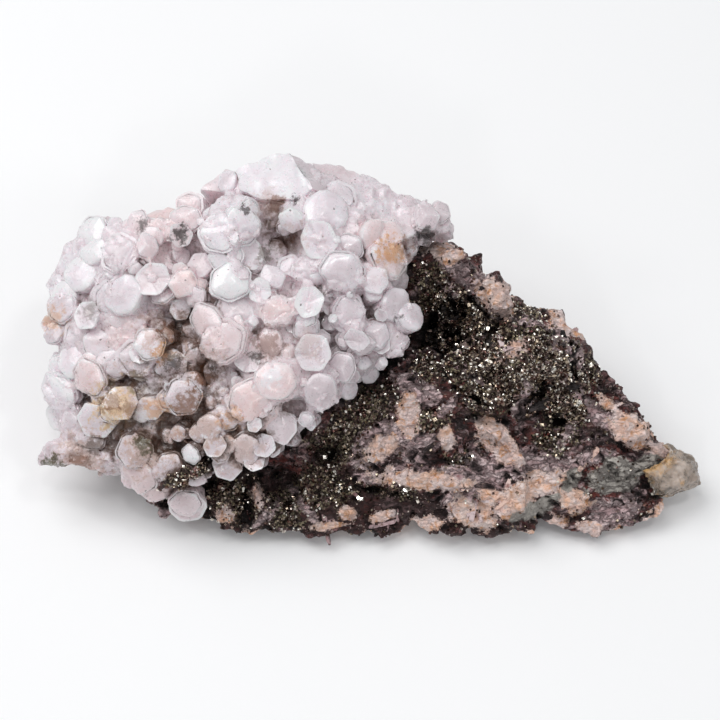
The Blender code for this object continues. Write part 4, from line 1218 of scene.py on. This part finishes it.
rockFace = {
    "grid": 0.42,
    "smoothing": 9,
    "crustGrid": 0.36,
    "raised": 0.7,
    "spread": {"peach": 0.45, "lilac": 0.48, "glassy": 0.25, "drift": 0.0, "gloom": 0.3},
    # a dark sheaf that lies over the foot of the calcite: across, up, half sizes, slant
    "overCalcite": (
        (-28.8, 9.6, 2.4, 1.1, 1.3, 23), (-25.9, 10.9, 2.6, 1.2, 1.5, 23),
        (-22.9, 12.2, 2.6, 1.1, 1.5, 23),
    ),
    # where the rock reaches further than its solid: across, up, reach, sideways, upwards
    "swells": ((10.8, 43.4, 1.7, 0.0, 1.7), (13.4, 42.6, 1.6, 0.0, 0.8), (31.8, 29.6, 2.8, 1.4, 1.1)),
    # across, up, half length, half width, slant in degrees, how far it stands out
    "peach": (
        (11.6, 43.4, 2.4, 1.3, -20, 0.5), (19.6, 36.8, 2.6, 1.9, -35, 0.6),
        (30.6, 32.4, 2.6, 1.2, -50, 0.2), (21.6, 29, 2.4, 0.9, 30, 0.4), (6.2, 19.4, 1.3, 2.4, 0, 0.4),
        (12.1, 15.8, 0.8, 1.2, 10, 0.3), (8.6, 9.6, 5.4, 1.1, -4, 0.8), (20.3, 15.2, 3.2, 1.4, -48, 0.8),
        (18.6, 16.6, 1.6, 1.2, 20, 0.3), (26.1, 8.9, 3.2, 1.3, 15, 0.5), (21.6, 5.9, 4, 1.5, -8, 0.6),
        (15.8, 4.6, 2.6, 1.5, -25, 0.5), (31, 6.5, 2.2, 1.3, -30, 0.4), (39.7, 17, 2.8, 1.7, -25, 0.8),
        (33.8, 2, 1.4, 0.9, -10, 0.4), (24.6, 1.2, 1.5, 0.8, 10, 0.3), (44.6, 14.2, 1.3, 1.1, 20, 0.3),
        (44.2, 4.8, 2.3, 0.7, 40, 0.3), (2.4, 14.6, 2.2, 1.2, 35, 0.5), (9.3, 2.9, 2, 0.8, 5, 0.2),
        (2.6, 3.9, 1.4, 0.6, 10, 0.2), (-5.6, 2.6, 2.2, 0.4, 4, 0.1), (-21.2, 4.4, 1.1, 1.1, 0, 0.2),
        (-16.4, 7, 0.8, 1.3, 20, 0.2), (36.4, 20.9, 1.5, 0.6, -40, 0.2), (28.2, 2.6, 1.5, 0.8, 35, 0.2),
        (-2.6, 4.6, 1, 0.8, 0, 0.1),
    ),
    "lilac": (
        (14.2, 40.6, 2.8, 1, -40, 0.3), (17.4, 38.4, 1.6, 2, 0, 0.4), (12.6, 37.8, 2, 0.8, -50, 0.3),
        (23.6, 22.2, 3.4, 1.1, 74, 0.5), (7.4, 23.4, 3.2, 1.2, -36, 0.5), (7.4, 15.6, 2, 0.9, 0, 0.4),
        (7, 13.4, 1.2, 0.8, 0, 0.3), (2.2, 15.4, 4.2, 2, 32, 0.3), (13.2, 10.6, 1.8, 1.1, -10, 0.5),
        (18, 11, 3.4, 1.8, 0, 0.2), (25, 12.2, 3, 1.6, -20, 0.2), (32.6, 12.6, 3, 0.9, 16, 0.4),
        (35.2, 19, 2.8, 0.9, -42, 0.4), (31.6, 22.6, 2.6, 0.8, -44, 0.2), (27.6, 29, 2, 0.8, 60, 0.2),
        (24.6, 33.4, 2.4, 0.7, -12, 0.2), (12, 20.6, 1.8, 0.6, 50, 0.2), (16, 25, 1.8, 0.5, -30, 0.2),
        (37.6, 4.6, 3.2, 1.8, 20, 0.1), (-14.8, 4.4, 2.6, 0.6, 44, 0.3), (-9.8, 6, 2.6, 0.5, -52, 0.2),
        (-32, 5.6, 2.6, 1.4, -20, 0.2), (30.2, 16.6, 2.2, 0.6, 60, 0.2), (14.6, 7.2, 2.4, 0.8, 12, 0.2),
        (0.6, 9.6, 2.2, 0.6, -14, 0.3), (31, 27.6, 2.4, 0.7, -50, 0.2), (-3.2, 22, 1.6, 0.8, 40, 0.1),
    ),
    "glassy": (
        (37.3, 10, 3.6, 1.9, 12, 0.8), (25.5, 5.1, 3.4, 1, 28, 0.3), (42.6, 11.6, 2, 1.2, 30, 0.4),
        (31, 9.6, 1.6, 0.9, 40, 0.2),
    ),
    # fine pyrite: across, up, half length, half width, slant, how far it stands out
    "drift": (
        (9.4, 26.4, 2.4, 2.6, 0, 1), (10.4, 38.6, 3.2, 4.4, 20, 0), (14, 33, 4.5, 4.5, 0, 0),
        (17.6, 28.2, 4.2, 2.8, 20, 1.2), (27.2, 27, 4.6, 3.4, -20, 0.9), (18.2, 21.6, 4.8, 2.4, -6, 1.1),
        (30, 20.6, 4.4, 4.2, -40, 0.4), (28, 15.4, 3.2, 2.4, 0, 0.2), (0, 20.6, 5.4, 3.6, 35, 0.3),
        (-4, 14.6, 4.2, 3.6, 0, 0), (-6.4, 8.4, 4.6, 3.6, 0, 0), (9.6, 18.6, 2.4, 2, 0, 0),
        (-20, 6.4, 4.2, 3.6, 0, 0.2), (-31, 6, 3.6, 1.8, 0, 0), (-12, 5, 3.4, 3.6, 0, 0),
        (3.4, 8.2, 4.4, 1.5, -10, 0), (14, 12.8, 2.4, 1.4, 0, 0), (24, 35, 3.6, 1.6, -30, 0),
        (33, 25.6, 2.6, 2.6, 0, 0), (23, 24.6, 5, 2.4, 0, 0), (-25.8, 10.9, 4.6, 1.8, 23, 0),
    ),
    # painted shade on the low ground, darker and redder
    "gloom": (
        (-18, 5.6, 8, 4.6, 0, 0), (-4, 5, 9, 4.4, 0, 0), (9, 4.4, 9, 3.2, 0, 0), (-2, 12, 5, 4, 35, 0),
        (22, 1, 6, 1.4, 0, 0), (-30, 4.6, 4, 2.4, 0, 0),
    ),
    # deep shadowed hollows, with their depth
    "hollows": (
        (8.6, 31.6, 5.6, 2.1, 26, 4.4), (13.4, 35.4, 2.2, 2, 0, 3.6), (13.6, 30.4, 2.4, 1.8, 10, 3.2),
        (18.6, 18.8, 3.8, 0.8, -8, 2), (28.4, 18.8, 1.8, 1.4, 10, 1.8), (23, 19, 1, 1.6, 0, 1.2),
        (-12.6, 8.6, 3, 2.6, 0, 3.6), (-18, 5.4, 1.2, 3.8, 0, 3), (-6.2, 13.2, 2.6, 1.8, 20, 3),
        (3, 27, 2.6, 1, 40, 1.6), (1.8, 8, 3.4, 0.7, -6, 1.2), (10.6, 12.6, 3.6, 0.5, -4, 1),
        (16.8, 9, 2.6, 0.6, -10, 0.9), (22, 10.4, 1.4, 0.9, 0, 1), (-24.6, 8.4, 2, 0.8, 30, 1.4),
        (40.2, 13.4, 2, 0.7, -24, 1), (32, 9.4, 2.4, 0.6, 0, 0.8), (35, 14.8, 2.4, 0.7, -30, 0.9),
    ),
}


def patchShares(rows, across, up, warp):
    # how much each row's patch covers each point, softened and with a ragged edge
    shares = []
    for row in rows:
        slant = radians(row[4])
        besideA, besideU = across - row[0], up - row[1]
        along = (besideA * cos(slant) + besideU * sin(slant)) / row[2]
        beside = (besideU * cos(slant) - besideA * sin(slant)) / row[3]
        away = np.sqrt(along * along + beside * beside) + warp
        shares.append(np.clip((1.3 - away) / 0.75, 0, 1))
    return shares


def coverOf(rows, spots, warp):
    return np.max(patchShares(rows, spots[:, 0], spots[:, 1], warp), axis=0)


def noiseOver(points, size, shift):
    offset = Vector((shift, 2.3 * shift, -1.7 * shift))
    return np.array([noise.noise(Vector(point) / size + offset) for point in points])


def cellsOver(points, size, stretch):
    # distance to the nearest cell centre and that cell's own random value
    near, value = np.empty(len(points)), np.empty(len(points))
    for i, point in enumerate(points):
        spot = Vector((point[0] / size[0], point[1] / size[1], point[2] / size[2]))
        away, centres = noise.voronoi(spot)
        near[i] = away[0]
        value[i] = noise.cell(centres[0] * 7.3 + Vector((stretch, 0.5, 0.5)))
    return near, value


def setValues(obj, name, values):
    layer = obj.data.attributes.new(name, "FLOAT", "POINT")
    layer.data.foreach_set("value", np.asarray(values, dtype=np.float32))


def weatherRock(obj, knobby):
    # gives a smooth copy of the rock its ledges, knobs, chips and hollows, and marks its patches
    mesh = obj.data
    count = len(mesh.vertices)
    points, normals = np.empty(count * 3), np.empty(count * 3)
    mesh.vertices.foreach_get("co", points)
    mesh.vertices.foreach_get("normal", normals)
    points, normals = points.reshape(-1, 3), normals.reshape(-1, 3)
    back = np.array(layBack.to_3x3())
    outward = back @ np.array((0.0, 0.0, 1.0))
    places = (points / mm - np.array(displayFace["foot"])) @ back
    across, up = places[:, 0], places[:, 1]
    broad, small = noiseOver(places, 1.9, 1.0), noiseOver(places, 0.8, 4.0)
    warp = broad * 0.55 + small * 0.35
    front = np.clip((normals @ outward) * 2.5 + 0.6, 0, 1)
    behind = 1 - front
    lift = np.zeros(count)
    shares = {}
    for kind in ("peach", "lilac", "glassy", "drift", "gloom"):
        rows = rockFace[kind]
        covers = patchShares(rows, across, up, warp - rockFace["spread"][kind])
        shares[kind] = np.max(covers, axis=0) * front
        for row, share in zip(rows, covers):
            lift = np.maximum(lift, share * row[5])
    depth = np.zeros(count)
    for row, share in zip(rockFace["hollows"], patchShares(rockFace["hollows"], across, up, warp * 0.7)):
        depth = np.maximum(depth, share * row[5])
    elsewhere = noiseOver(places, 4.5, 9.0)
    shares["peach"] = np.maximum(shares["peach"], behind * np.clip((elsewhere - 0.1) * 2.2, 0, 1))
    shares["lilac"] = np.maximum(shares["lilac"], behind * np.clip(-elsewhere * 2.2, 0, 1))
    pale = np.maximum(shares["peach"], shares["lilac"])
    coat = np.clip(shares["drift"] - pale * 0.6, 0, 1)
    coat = np.maximum(coat, knobby * (1 - pale) * 0.9)
    lathValue = cellsOver(places @ np.array(Matrix.Rotation(0.6, 3, "Z")), (3.4, 0.9, 1.4), 1.0)[1]
    crossValue = cellsOver(places @ np.array(Matrix.Rotation(-0.9, 3, "Z")), (3.0, 0.9, 1.4), 2.0)[1]
    swap = noiseOver(places, 5.0, 6.0) > 0
    steps = np.where(swap, crossValue, lathValue)
    knobNear, knobValue = cellsOver(places, (1.15, 1.15, 1.15), 3.0)
    bunches = noiseOver(places, 3.0, 12.0)
    relief = 0.55 * broad + 0.25 * small + coat * 1.3 * bunches
    relief += (1 - coat) * (0.75 * (steps - 0.45)) * (1 - 0.6 * shares["peach"])
    relief += coat * (0.55 * (0.6 - knobNear) + 0.25 * (knobValue - 0.5))
    relief += behind * (1.1 * elsewhere + 0.5 * bunches)
    relief *= 1 - 0.4 * np.exp(-(((normals @ outward) / 0.4) ** 2))  # a calmer outline
    moved = points + normals * (relief[:, None] * mm)
    moved += outward * (((lift - depth) * front)[:, None] * mm)
    for row in rockFace["swells"]:
        share = np.exp(-((across - row[0]) ** 2 + (up - row[1]) ** 2) / row[2] ** 2)
        moved += (back @ np.array((row[3], row[4], 0.0))) * (share[:, None] * mm)
    moved[:, 2] = np.maximum(moved[:, 2], 0.0)  # the rest face stays flat
    mesh.vertices.foreach_set("co", moved.ravel())
    mesh.update()
    for kind in ("peach", "lilac", "glassy", "gloom"):
        setValues(obj, kind, shares[kind])
    setValues(obj, "drift", coat)


def buildRock(material, lump, calcite):
    rock = mergedCopy("baryte_matrix", "baryteRock")
    ground = treeOf(calcite)
    places = []
    for across, up, width, height, thickness, slant in rockFace["overCalcite"]:
        spot = landOn(ground, across, up)[0] or facePoint(across, up, 9)
        raised = Matrix.Translation(spot + facing * rockFace["raised"] * mm)
        turned = raised @ (layBack @ spun(slant)) @ sized(width, height, thickness)
        places.append(("lump", turned, (0, 0, 0, 1)))
    joinMesh(rock, joinedCopies("sheaf", {"lump": lump}, places))
    addGrid(rock, rockFace["grid"], rounds=rockFace["smoothing"])
    applyModifiers(rock)
    weatherRock(rock, 0.0)
    addModifier(rock, "SMOOTH", factor=0.5, iterations=1)
    applyModifiers(rock)
    dress(rock, material)
    print("baryte: rock", len(rock.data.polygons), "faces")
    return rock


def buildCrust(material):
    crust = mergedCopy("pyrite_crust", "pyriteCrust")
    addGrid(crust, rockFace["crustGrid"])
    applyModifiers(crust)
    weatherRock(crust, 1.0)
    dress(crust, material)
    print("pyrite: crust", len(crust.data.polygons), "faces")
    return crust


baryteSheaves = {
    "seed": 23,
    "sunk": (0.8, 1.1),
    # no blades below this, up the display face and over the floor, nor on steeper ground
    "lowest": (2.2, 3.4),
    "facingShare": 0.6,
    # a sheaf of parallel blades: across, up, length, width of the sheaf, slant, paleness
    "sheaves": (
        (14.6, 40.6, 4.4, 2, -42, 0.6), (17.6, 38.6, 3.6, 2.6, -70, 0.75), (21.8, 29, 6, 1.7, 30, 0.9),
        (23.4, 22.4, 7.2, 0.8, 72, 0.85), (24.9, 22, 6, 0.8, 76, 0.7), (8.2, 24.4, 6.4, 2.2, -36, 0.8),
        (7.6, 22, 5.6, 1.4, -28, 0.5), (2.4, 16.8, 6, 2, 33, 0.6), (4.4, 18.8, 5, 1.2, 48, 0.4),
        (8, 9.6, 7, 1.8, -5, 0.85), (13.6, 10.4, 3.4, 1.6, -12, 0.7), (20.6, 14.6, 5, 1.8, -50, 0.95),
        (26.2, 9, 5, 1.6, 14, 0.85), (21.6, 6, 7.4, 2.2, -8, 0.9), (15.8, 4.6, 4.2, 1.8, -22, 0.85),
        (31, 6.6, 3.8, 1.8, -28, 0.8), (35.4, 19, 5.4, 1.6, -42, 0.65), (31.8, 22.8, 5.2, 1.2, -44, 0.45),
        (32.6, 12.6, 5.8, 1.4, 16, 0.65), (39.6, 17.2, 4.2, 2.2, -24, 0.95),
        (30.8, 31.6, 4.6, 1.8, -52, 0.5), (27.6, 29.4, 4, 1.2, 58, 0.4), (36.6, 23.6, 4.6, 1, -46, 0.35),
        (-14.8, 4.2, 4.6, 0.9, 45, 0.4), (-9.6, 6, 4.6, 0.7, -54, 0.45), (-16.6, 7.2, 2.6, 1.6, 30, 0.4),
        (-4.6, 2.4, 7, 1.2, 3, 0.35), (3.6, 3, 8, 1.6, -3, 0.4), (10.6, 2.2, 7, 1.2, 4, 0.45),
        (4, 5.6, 7, 1.2, -8, 0.35), (11.6, 5.8, 5.6, 1.2, 6, 0.45), (-1.6, 6.6, 5, 0.9, 12, 0.4),
        (37.2, 4.6, 5, 1.6, 22, 0.4), (42, 6.6, 4.6, 1.2, 36, 0.5), (0.4, 9.4, 4.4, 0.8, -16, 0.5),
        (16.4, 12.4, 4.2, 1, 8, 0.45), (10.6, 32.6, 4.6, 0.5, -34, 0.5),
        (13.4, 28.4, 3.6, 0.5, -28, 0.35), (15.6, 33.4, 4, 0.6, -66, 0.4),
        (-31.6, 5.8, 4.6, 1.8, -16, 0.35), (-27, 3.4, 4.2, 1.2, -30, 0.3),
    ),
    # the dark sheaf that lies over the foot of the calcite
    "overCalcite": ((-26.4, 10.8, 5.0, 1.8, 23, 0.3),),
}


def bladeMaster():
    bpy.ops.object.select_all(action="DESELECT")
    bpy.ops.mesh.primitive_cube_add(size=1)
    obj = bpy.context.object
    obj.name = "bladeMaster"
    bpy.ops.object.mode_set(mode="EDIT")
    bpy.ops.mesh.select_mode(type="FACE")
    for side in (-1, 1):
        bpy.ops.mesh.select_all(action="DESELECT")
        shape = bmesh.from_edit_mesh(obj.data)
        for face in shape.faces:
            face.select_set(face.normal.x * side > 0.9)
        bmesh.update_edit_mesh(obj.data)
        step = (0.1 * side, 0.12 * side, -0.05 * side)
        bpy.ops.mesh.extrude_region_move(TRANSFORM_OT_translate={"value": step})
        bpy.ops.transform.resize(value=(1, 0.55, 0.7))
    bpy.ops.object.mode_set(mode="OBJECT")
    growthFrom(obj, lambda spot: (spot.x + 0.64, spot.y + 0.5))
    return masterOf(obj)


def surfacePoints(obj, count, dice):
    # places spread evenly over a mesh: point and normal
    faces = obj.data.polygons
    areas = np.empty(len(faces))
    faces.foreach_get("area", areas)
    marks = np.cumsum(areas) / areas.sum()
    picks = np.searchsorted(marks, [dice.random() for _ in range(count)])
    for pick in picks:
        face = faces[int(min(pick, len(faces) - 1))]
        corners = [obj.data.vertices[i].co for i in face.vertices]
        a, b = dice.random(), dice.random()
        if len(corners) == 4:
            low = corners[0].lerp(corners[1], a)
            high = corners[3].lerp(corners[2], a)
            yield low.lerp(high, b), face.normal
        else:
            if a + b > 1:
                a, b = 1 - a, 1 - b
            yield corners[0] + (corners[1] - corners[0]) * a + (corners[2] - corners[0]) * b, face.normal


def buildBlades(rock, crust, calcite, material):
    values = baryteSheaves
    dice = Random(values["seed"])
    master = bladeMaster()
    ground, everything = treeOf(rock, crust), treeOf(rock, crust, calcite)
    places = []
    rows = [(row, ground) for row in values["sheaves"]]
    rows += [(row, everything) for row in values["overCalcite"]]
    for (across, up, length, width, slant, paleness), tree in rows:
        blades = max(2, round(width / 0.33))
        direction = radians(slant)
        for number in range(blades):
            beside = (number - (blades - 1) / 2) * width / blades + dice.uniform(-0.1, 0.1)
            slide = dice.uniform(-0.25, 0.25) * length
            a = across - beside * sin(direction) + slide * cos(direction)
            u = up + beside * cos(direction) + slide * sin(direction)
            spot, normal = landOn(tree, a, u)
            if spot is None or u < values["lowest"][0] or spot.z < values["lowest"][1] * mm:
                continue
            if normal.dot(facing) < values["facingShare"]:
                continue
            long = length * dice.uniform(0.3, 0.7)
            ends = [
                landOn(tree, a + end * cos(direction), u + end * sin(direction))[0]
                for end in (-0.75 * long, 0.75 * long)
            ]
            if any(end is None or abs((end - spot).dot(facing)) > 1.0 * mm for end in ends):
                continue
            wide = width / blades * dice.uniform(1.2, 2.3)
            size = sized(long, wide, dice.uniform(1.4, 2.0))
            tilt = (layBack.inverted().to_3x3() @ normal) * 0.3 + Vector((0, 0, 0.8))
            tilt += wobble(dice, 0.1)
            turned = layBack @ tilt.normalized().to_track_quat("Z", "Y").to_matrix().to_4x4()
            spin = Matrix.Rotation(direction + radians(dice.uniform(-7, 7)), 4, "Z")
            sunk = Matrix.Translation(spot - facing * dice.uniform(*values["sunk"]) * mm)
            pale = min(1, max(0, paleness + dice.uniform(-0.3, 0.12)))
            places.append(("blade", sunk @ turned @ spin @ size, (dice.random(), pale, 0, 1)))
    blades = joinedCopies("baryteBlades", {"blade": master}, places)
    dress(blades, material)
    print("baryte: blades", len(places))
    return blades


pyriteLook = {
    "brass": (0.80, 0.67, 0.50),
    # pale: a near-white colour given to some grains as a painted glint
    "pale": (1.0, 0.95, 0.86),
    "tarnish": (0.092, 0.066, 0.058),
    "plum": (0.19, 0.075, 0.058),
}


def pyriteMaterial(look):
    material, r = newMaterial("brassyPyrite")
    tint = r.split(r.attribute("tint", "Color"))
    body = r.mix(r.fade(tint[0], 0.5, 0.9), look["tarnish"], look["brass"])
    # painted glint: the palest share of grains is made near white
    body = r.mix(r.fade(tint[0], 0.78, 0.82), body, look["pale"])
    film = r.noise(500.0, 3.0)
    body = r.mix(r.fade(film, 0.54, 0.64, 0.0, 0.5), body, look["plum"])
    r.give("Base Color", body)
    r.give("Roughness", r.fade(tint[1], 0.0, 1.0, 0.12, 0.38))
    r.give("Metallic", 1.0)
    grain = r.noise(5000.0, 2.0)
    r.bump(grain, 0.3, 0.03)
    return material


pyriteGrains = {
    "tries": 70000,
    "most": 15500,
    "sizes": (0.085, 0.20),
    "elsewhere": 0.06,
}


def grainMaster():
    bpy.ops.object.select_all(action="DESELECT")
    bpy.ops.mesh.primitive_cube_add(size=2)
    obj = bpy.context.object
    bpy.ops.object.mode_set(mode="EDIT")
    bpy.ops.mesh.select_mode(type="VERT")
    bpy.ops.mesh.select_all(action="DESELECT")
    shape = bmesh.from_edit_mesh(obj.data)
    for vertex in shape.verts:
        vertex.select_set(vertex.co.x * vertex.co.y * vertex.co.z > 0)
    bmesh.update_edit_mesh(obj.data)
    bpy.ops.transform.resize(value=(0.78, 0.86, 0.8), center_override=(0, 0, 0))
    bpy.ops.object.mode_set(mode="OBJECT")
    uv = obj.data.uv_layers[0]
    uv.name = "growth"
    return masterOf(obj)


def buildGrains(name, grounds, calcite, seed, material):
    values = pyriteGrains
    dice = Random(seed)
    master = grainMaster()
    calciteTree = treeOf(calcite)
    places = []
    for ground, share in grounds:
        spots = list(surfacePoints(ground, int(values["tries"] * share), dice))
        faceSpots = np.array([faceCoords(spot)[:] for spot, normal in spots])
        patchy = noiseOver(faceSpots, 1.4, 3.0)
        thick = coverOf(rockFace["drift"], faceSpots, patchy * 0.8)
        pale = coverOf(rockFace["peach"] + rockFace["lilac"], faceSpots, patchy * 0.5)
        deep = coverOf(rockFace["hollows"], faceSpots, patchy * 0.3)
        chances = np.maximum(thick, values["elsewhere"]) * (1 - 0.93 * pale) * (1 - 0.75 * deep)
        for (spot, normal), chance in zip(spots, chances):
            if len(places) >= values["most"]:
                break
            if spot.z < 1.0 * mm or normal.z < -0.5 or dice.random() > chance:
                continue
            if calciteTree.ray_cast(spot, facing, 2.2 * mm)[0] is not None:
                continue
            size = dice.uniform(*values["sizes"]) * (1.5 if dice.random() > 0.94 else 1.0)
            turn = dice.uniform(0, 2 * pi)
            turned = Matrix.Rotation(turn, 4, [dice.uniform(-1, 1) for side in range(3)])
            long, deep = size * mm * dice.uniform(0.8, 1.2), size * mm * dice.uniform(0.8, 1.2)
            scale = Matrix.Diagonal((long, size * mm, deep, 1))
            where = Matrix.Translation(spot + normal * size * 0.35 * mm)
            places.append(("grain", where @ turned @ scale, (dice.random(), dice.random(), 0, 1)))
    grains = joinedCopies(name, {"grain": master}, places)
    dress(grains, material)
    print("pyrite: grains", len(places))
    return grains


quartzLook = {
    "greyGreen": (0.20, 0.165, 0.13),
    "cloud": (0.66, 0.54, 0.46),
    "iron": (0.74, 0.42, 0.15),
    "dark": (0.14, 0.11, 0.09),
    # across, up, out, reach
    "ironAt": (42.6, 13.2, 1.0, 4.2),
    "ironBreakup": 1.6,
}


def quartzMaterial(look):
    material, r = newMaterial("cloudyQuartz")
    clouds = r.noise(420.0, 5.0, 0.65, 0.8)
    body = r.mix(r.fade(clouds, 0.38, 0.62), look["greyGreen"], look["cloud"])
    stain = stainAt(r, flattenedPlace(r), look["ironAt"], look["ironBreakup"])
    body = r.mix(r.times(stain, 0.85), body, look["iron"])
    body = r.layered(body, look, (
        (r.noise(340.0, 4.0, 0.6), 0.58, 0.68, 0.6, "iron"),
        (r.noise(800.0, 4.0, 0.7), 0.54, 0.64, 0.8, "dark"),
    ))
    r.give("Base Color", body)
    r.give("Roughness", r.fade(clouds, 0.3, 0.7, 0.15, 0.4))
    height = r.plus(clouds, r.noise(1400.0, 3.0))
    r.bump(height, 0.5, 0.2)
    r.give("Transmission Weight", 0.3)
    r.give("Subsurface Weight", 0.3)
    r.give("Subsurface Radius", (1.0, 0.9, 0.7))
    r.give("Subsurface Scale", 1.0 * mm)
    r.give("IOR", 1.54)
    return material


quartzForm = {
    "grid": 0.26,
    "relief": (("shellBreaks", "CLOUDS", 2.2, 1.4, 0.5), ("chips", "VORONOI", 0.9, 0.5, 0.5)),
    "sharpOver": 30,
}


def buildQuartz(material):
    quartz = mergedCopy("quartz_end", "quartzEnd")
    addGrid(quartz, quartzForm["grid"], rounds=3)
    addRelief(quartz, quartzForm["relief"])
    applyModifiers(quartz)
    dress(quartz, material, quartzForm["sharpOver"])
    return quartz


studio = {
    "aim": (-0.9, 27.6, 4.0),
    "cameraAway": 0.36,
    "lens": 120.0,
    "sensor": 36,
    "nearest": 0.01,
    "sky": 0.40,
    "skyColour": (0.96, 0.98, 1.0, 1),
    "floorSize": 3.0,
    # lights: place on the display face in millimetres (across, up, out), size in metres, power
    "lights": (
        ((-190, 330, 330), 0.34, 1.20), ((170, 260, 420), 0.05, 0.18), ((-60, -120, 420), 0.05, 0.10),
        ((330, 60, 330), 0.08, 0.14), ((-20, 200, 460), 0.04, 0.14), ((-330, 120, 300), 0.06, 0.08),
    ),
    "floor": (0.97, 0.97, 0.975),
}


def buildFloor():
    bpy.ops.object.select_all(action="DESELECT")
    bpy.ops.mesh.primitive_plane_add(size=studio["floorSize"], location=(0, 0, 0))
    floor = bpy.context.object
    floor.name = "studioFloor"
    material, r = newMaterial("paleFloor")
    soft = r.noise(6.0, 2.0)
    tone = r.mix(r.fade(soft, 0.3, 0.7), studio["floor"], tuple(c * 1.02 for c in studio["floor"]))
    r.give("Base Color", tone)
    r.give("Roughness", 0.9)
    floor.data.materials.append(material)
    return floor


def buildStudio():
    world = bpy.data.worlds.new("softStudio")
    bpy.context.scene.world = world
    world.use_nodes = True
    world.node_tree.nodes["Background"].inputs["Color"].default_value = studio["skyColour"]
    world.node_tree.nodes["Background"].inputs["Strength"].default_value = studio["sky"]
    aim = facePoint(*studio["aim"])
    for number, (place, size, power) in enumerate(studio["lights"]):
        spot = facePoint(*place)
        lamp = bpy.data.lights.new(f"softLight{number}", "AREA")
        lamp.size = size
        lamp.energy = power
        light = bpy.data.objects.new(lamp.name, lamp)
        bpy.context.scene.collection.objects.link(light)
        light.location = spot
        light.rotation_euler = (spot - aim).to_track_quat("Z", "Y").to_euler()
    camera = bpy.data.cameras.new("photoCamera")
    camera.sensor_width = studio["sensor"]
    camera.lens = studio["lens"]
    camera.clip_start = studio["nearest"]
    view = bpy.data.objects.new("photoCamera", camera)
    bpy.context.scene.collection.objects.link(view)
    away = (layBack @ Vector((0, 0, studio["cameraAway"]))).to_3d()
    view.location = aim + away
    view.rotation_euler = away.to_track_quat("Z", "Y").to_euler()
    bpy.context.scene.camera = view
    bpy.context.scene.view_settings.view_transform = "Standard"


calciteSurface = calciteMaterial(calciteLook)
rockSurface = rockMaterial("darkBaryteRock", baryteLook, 0.85)
crustSurface = rockMaterial("pyriteCrust", baryteLook, 1.0)
bladeSurface = baryteBladeMaterial(baryteLook)
pyriteSurface = pyriteMaterial(pyriteLook)
quartzSurface = quartzMaterial(quartzLook)

masters = {name: crystalMaster(name, values) for name, values in crystalMasters.items()}
masters["lump"] = lumpMaster()
calcite = buildCalcite(masters, calciteSurface)
lone = buildLowerCrystal(masters, calciteSurface)
rock = buildRock(rockSurface, masters["lump"], calcite)
crust = buildCrust(crustSurface)
blades = buildBlades(rock, crust, calcite, bladeSurface)
grains = buildGrains("pyriteGrains", ((crust, 0.35), (blades, 0.12)), calcite, 37, pyriteSurface)
moreGrains = buildGrains("pyriteDrifts", ((rock, 1.0),), calcite, 38, pyriteSurface)
quartz = buildQuartz(quartzSurface)

surroundings = treeOf(calcite, rock, lone, crust)
for piece, reach in ((calcite, 3.2), (lone, 3.0), (rock, 3.0), (crust, 2.4)):
    addHollows(piece, surroundings, reach)
print("hollows marked")

for piece, slot, replaced in (
    (calcite, "calcite", "calcite_cluster"),
    (lone, "calcite", "calcite_lower_crystal"),
    (rock, "baryte", "baryte_matrix"),
    (crust, "pyrite", "pyrite_crust"),
    (quartz, "quartz", "quartz_end"),
    (blades, "baryte", None),
    (grains, "pyrite", None),
    (moreGrains, "pyrite", None),
):
    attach(piece, "root")
    if replaced:
        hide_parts(replaced)

buildFloor()
buildStudio()
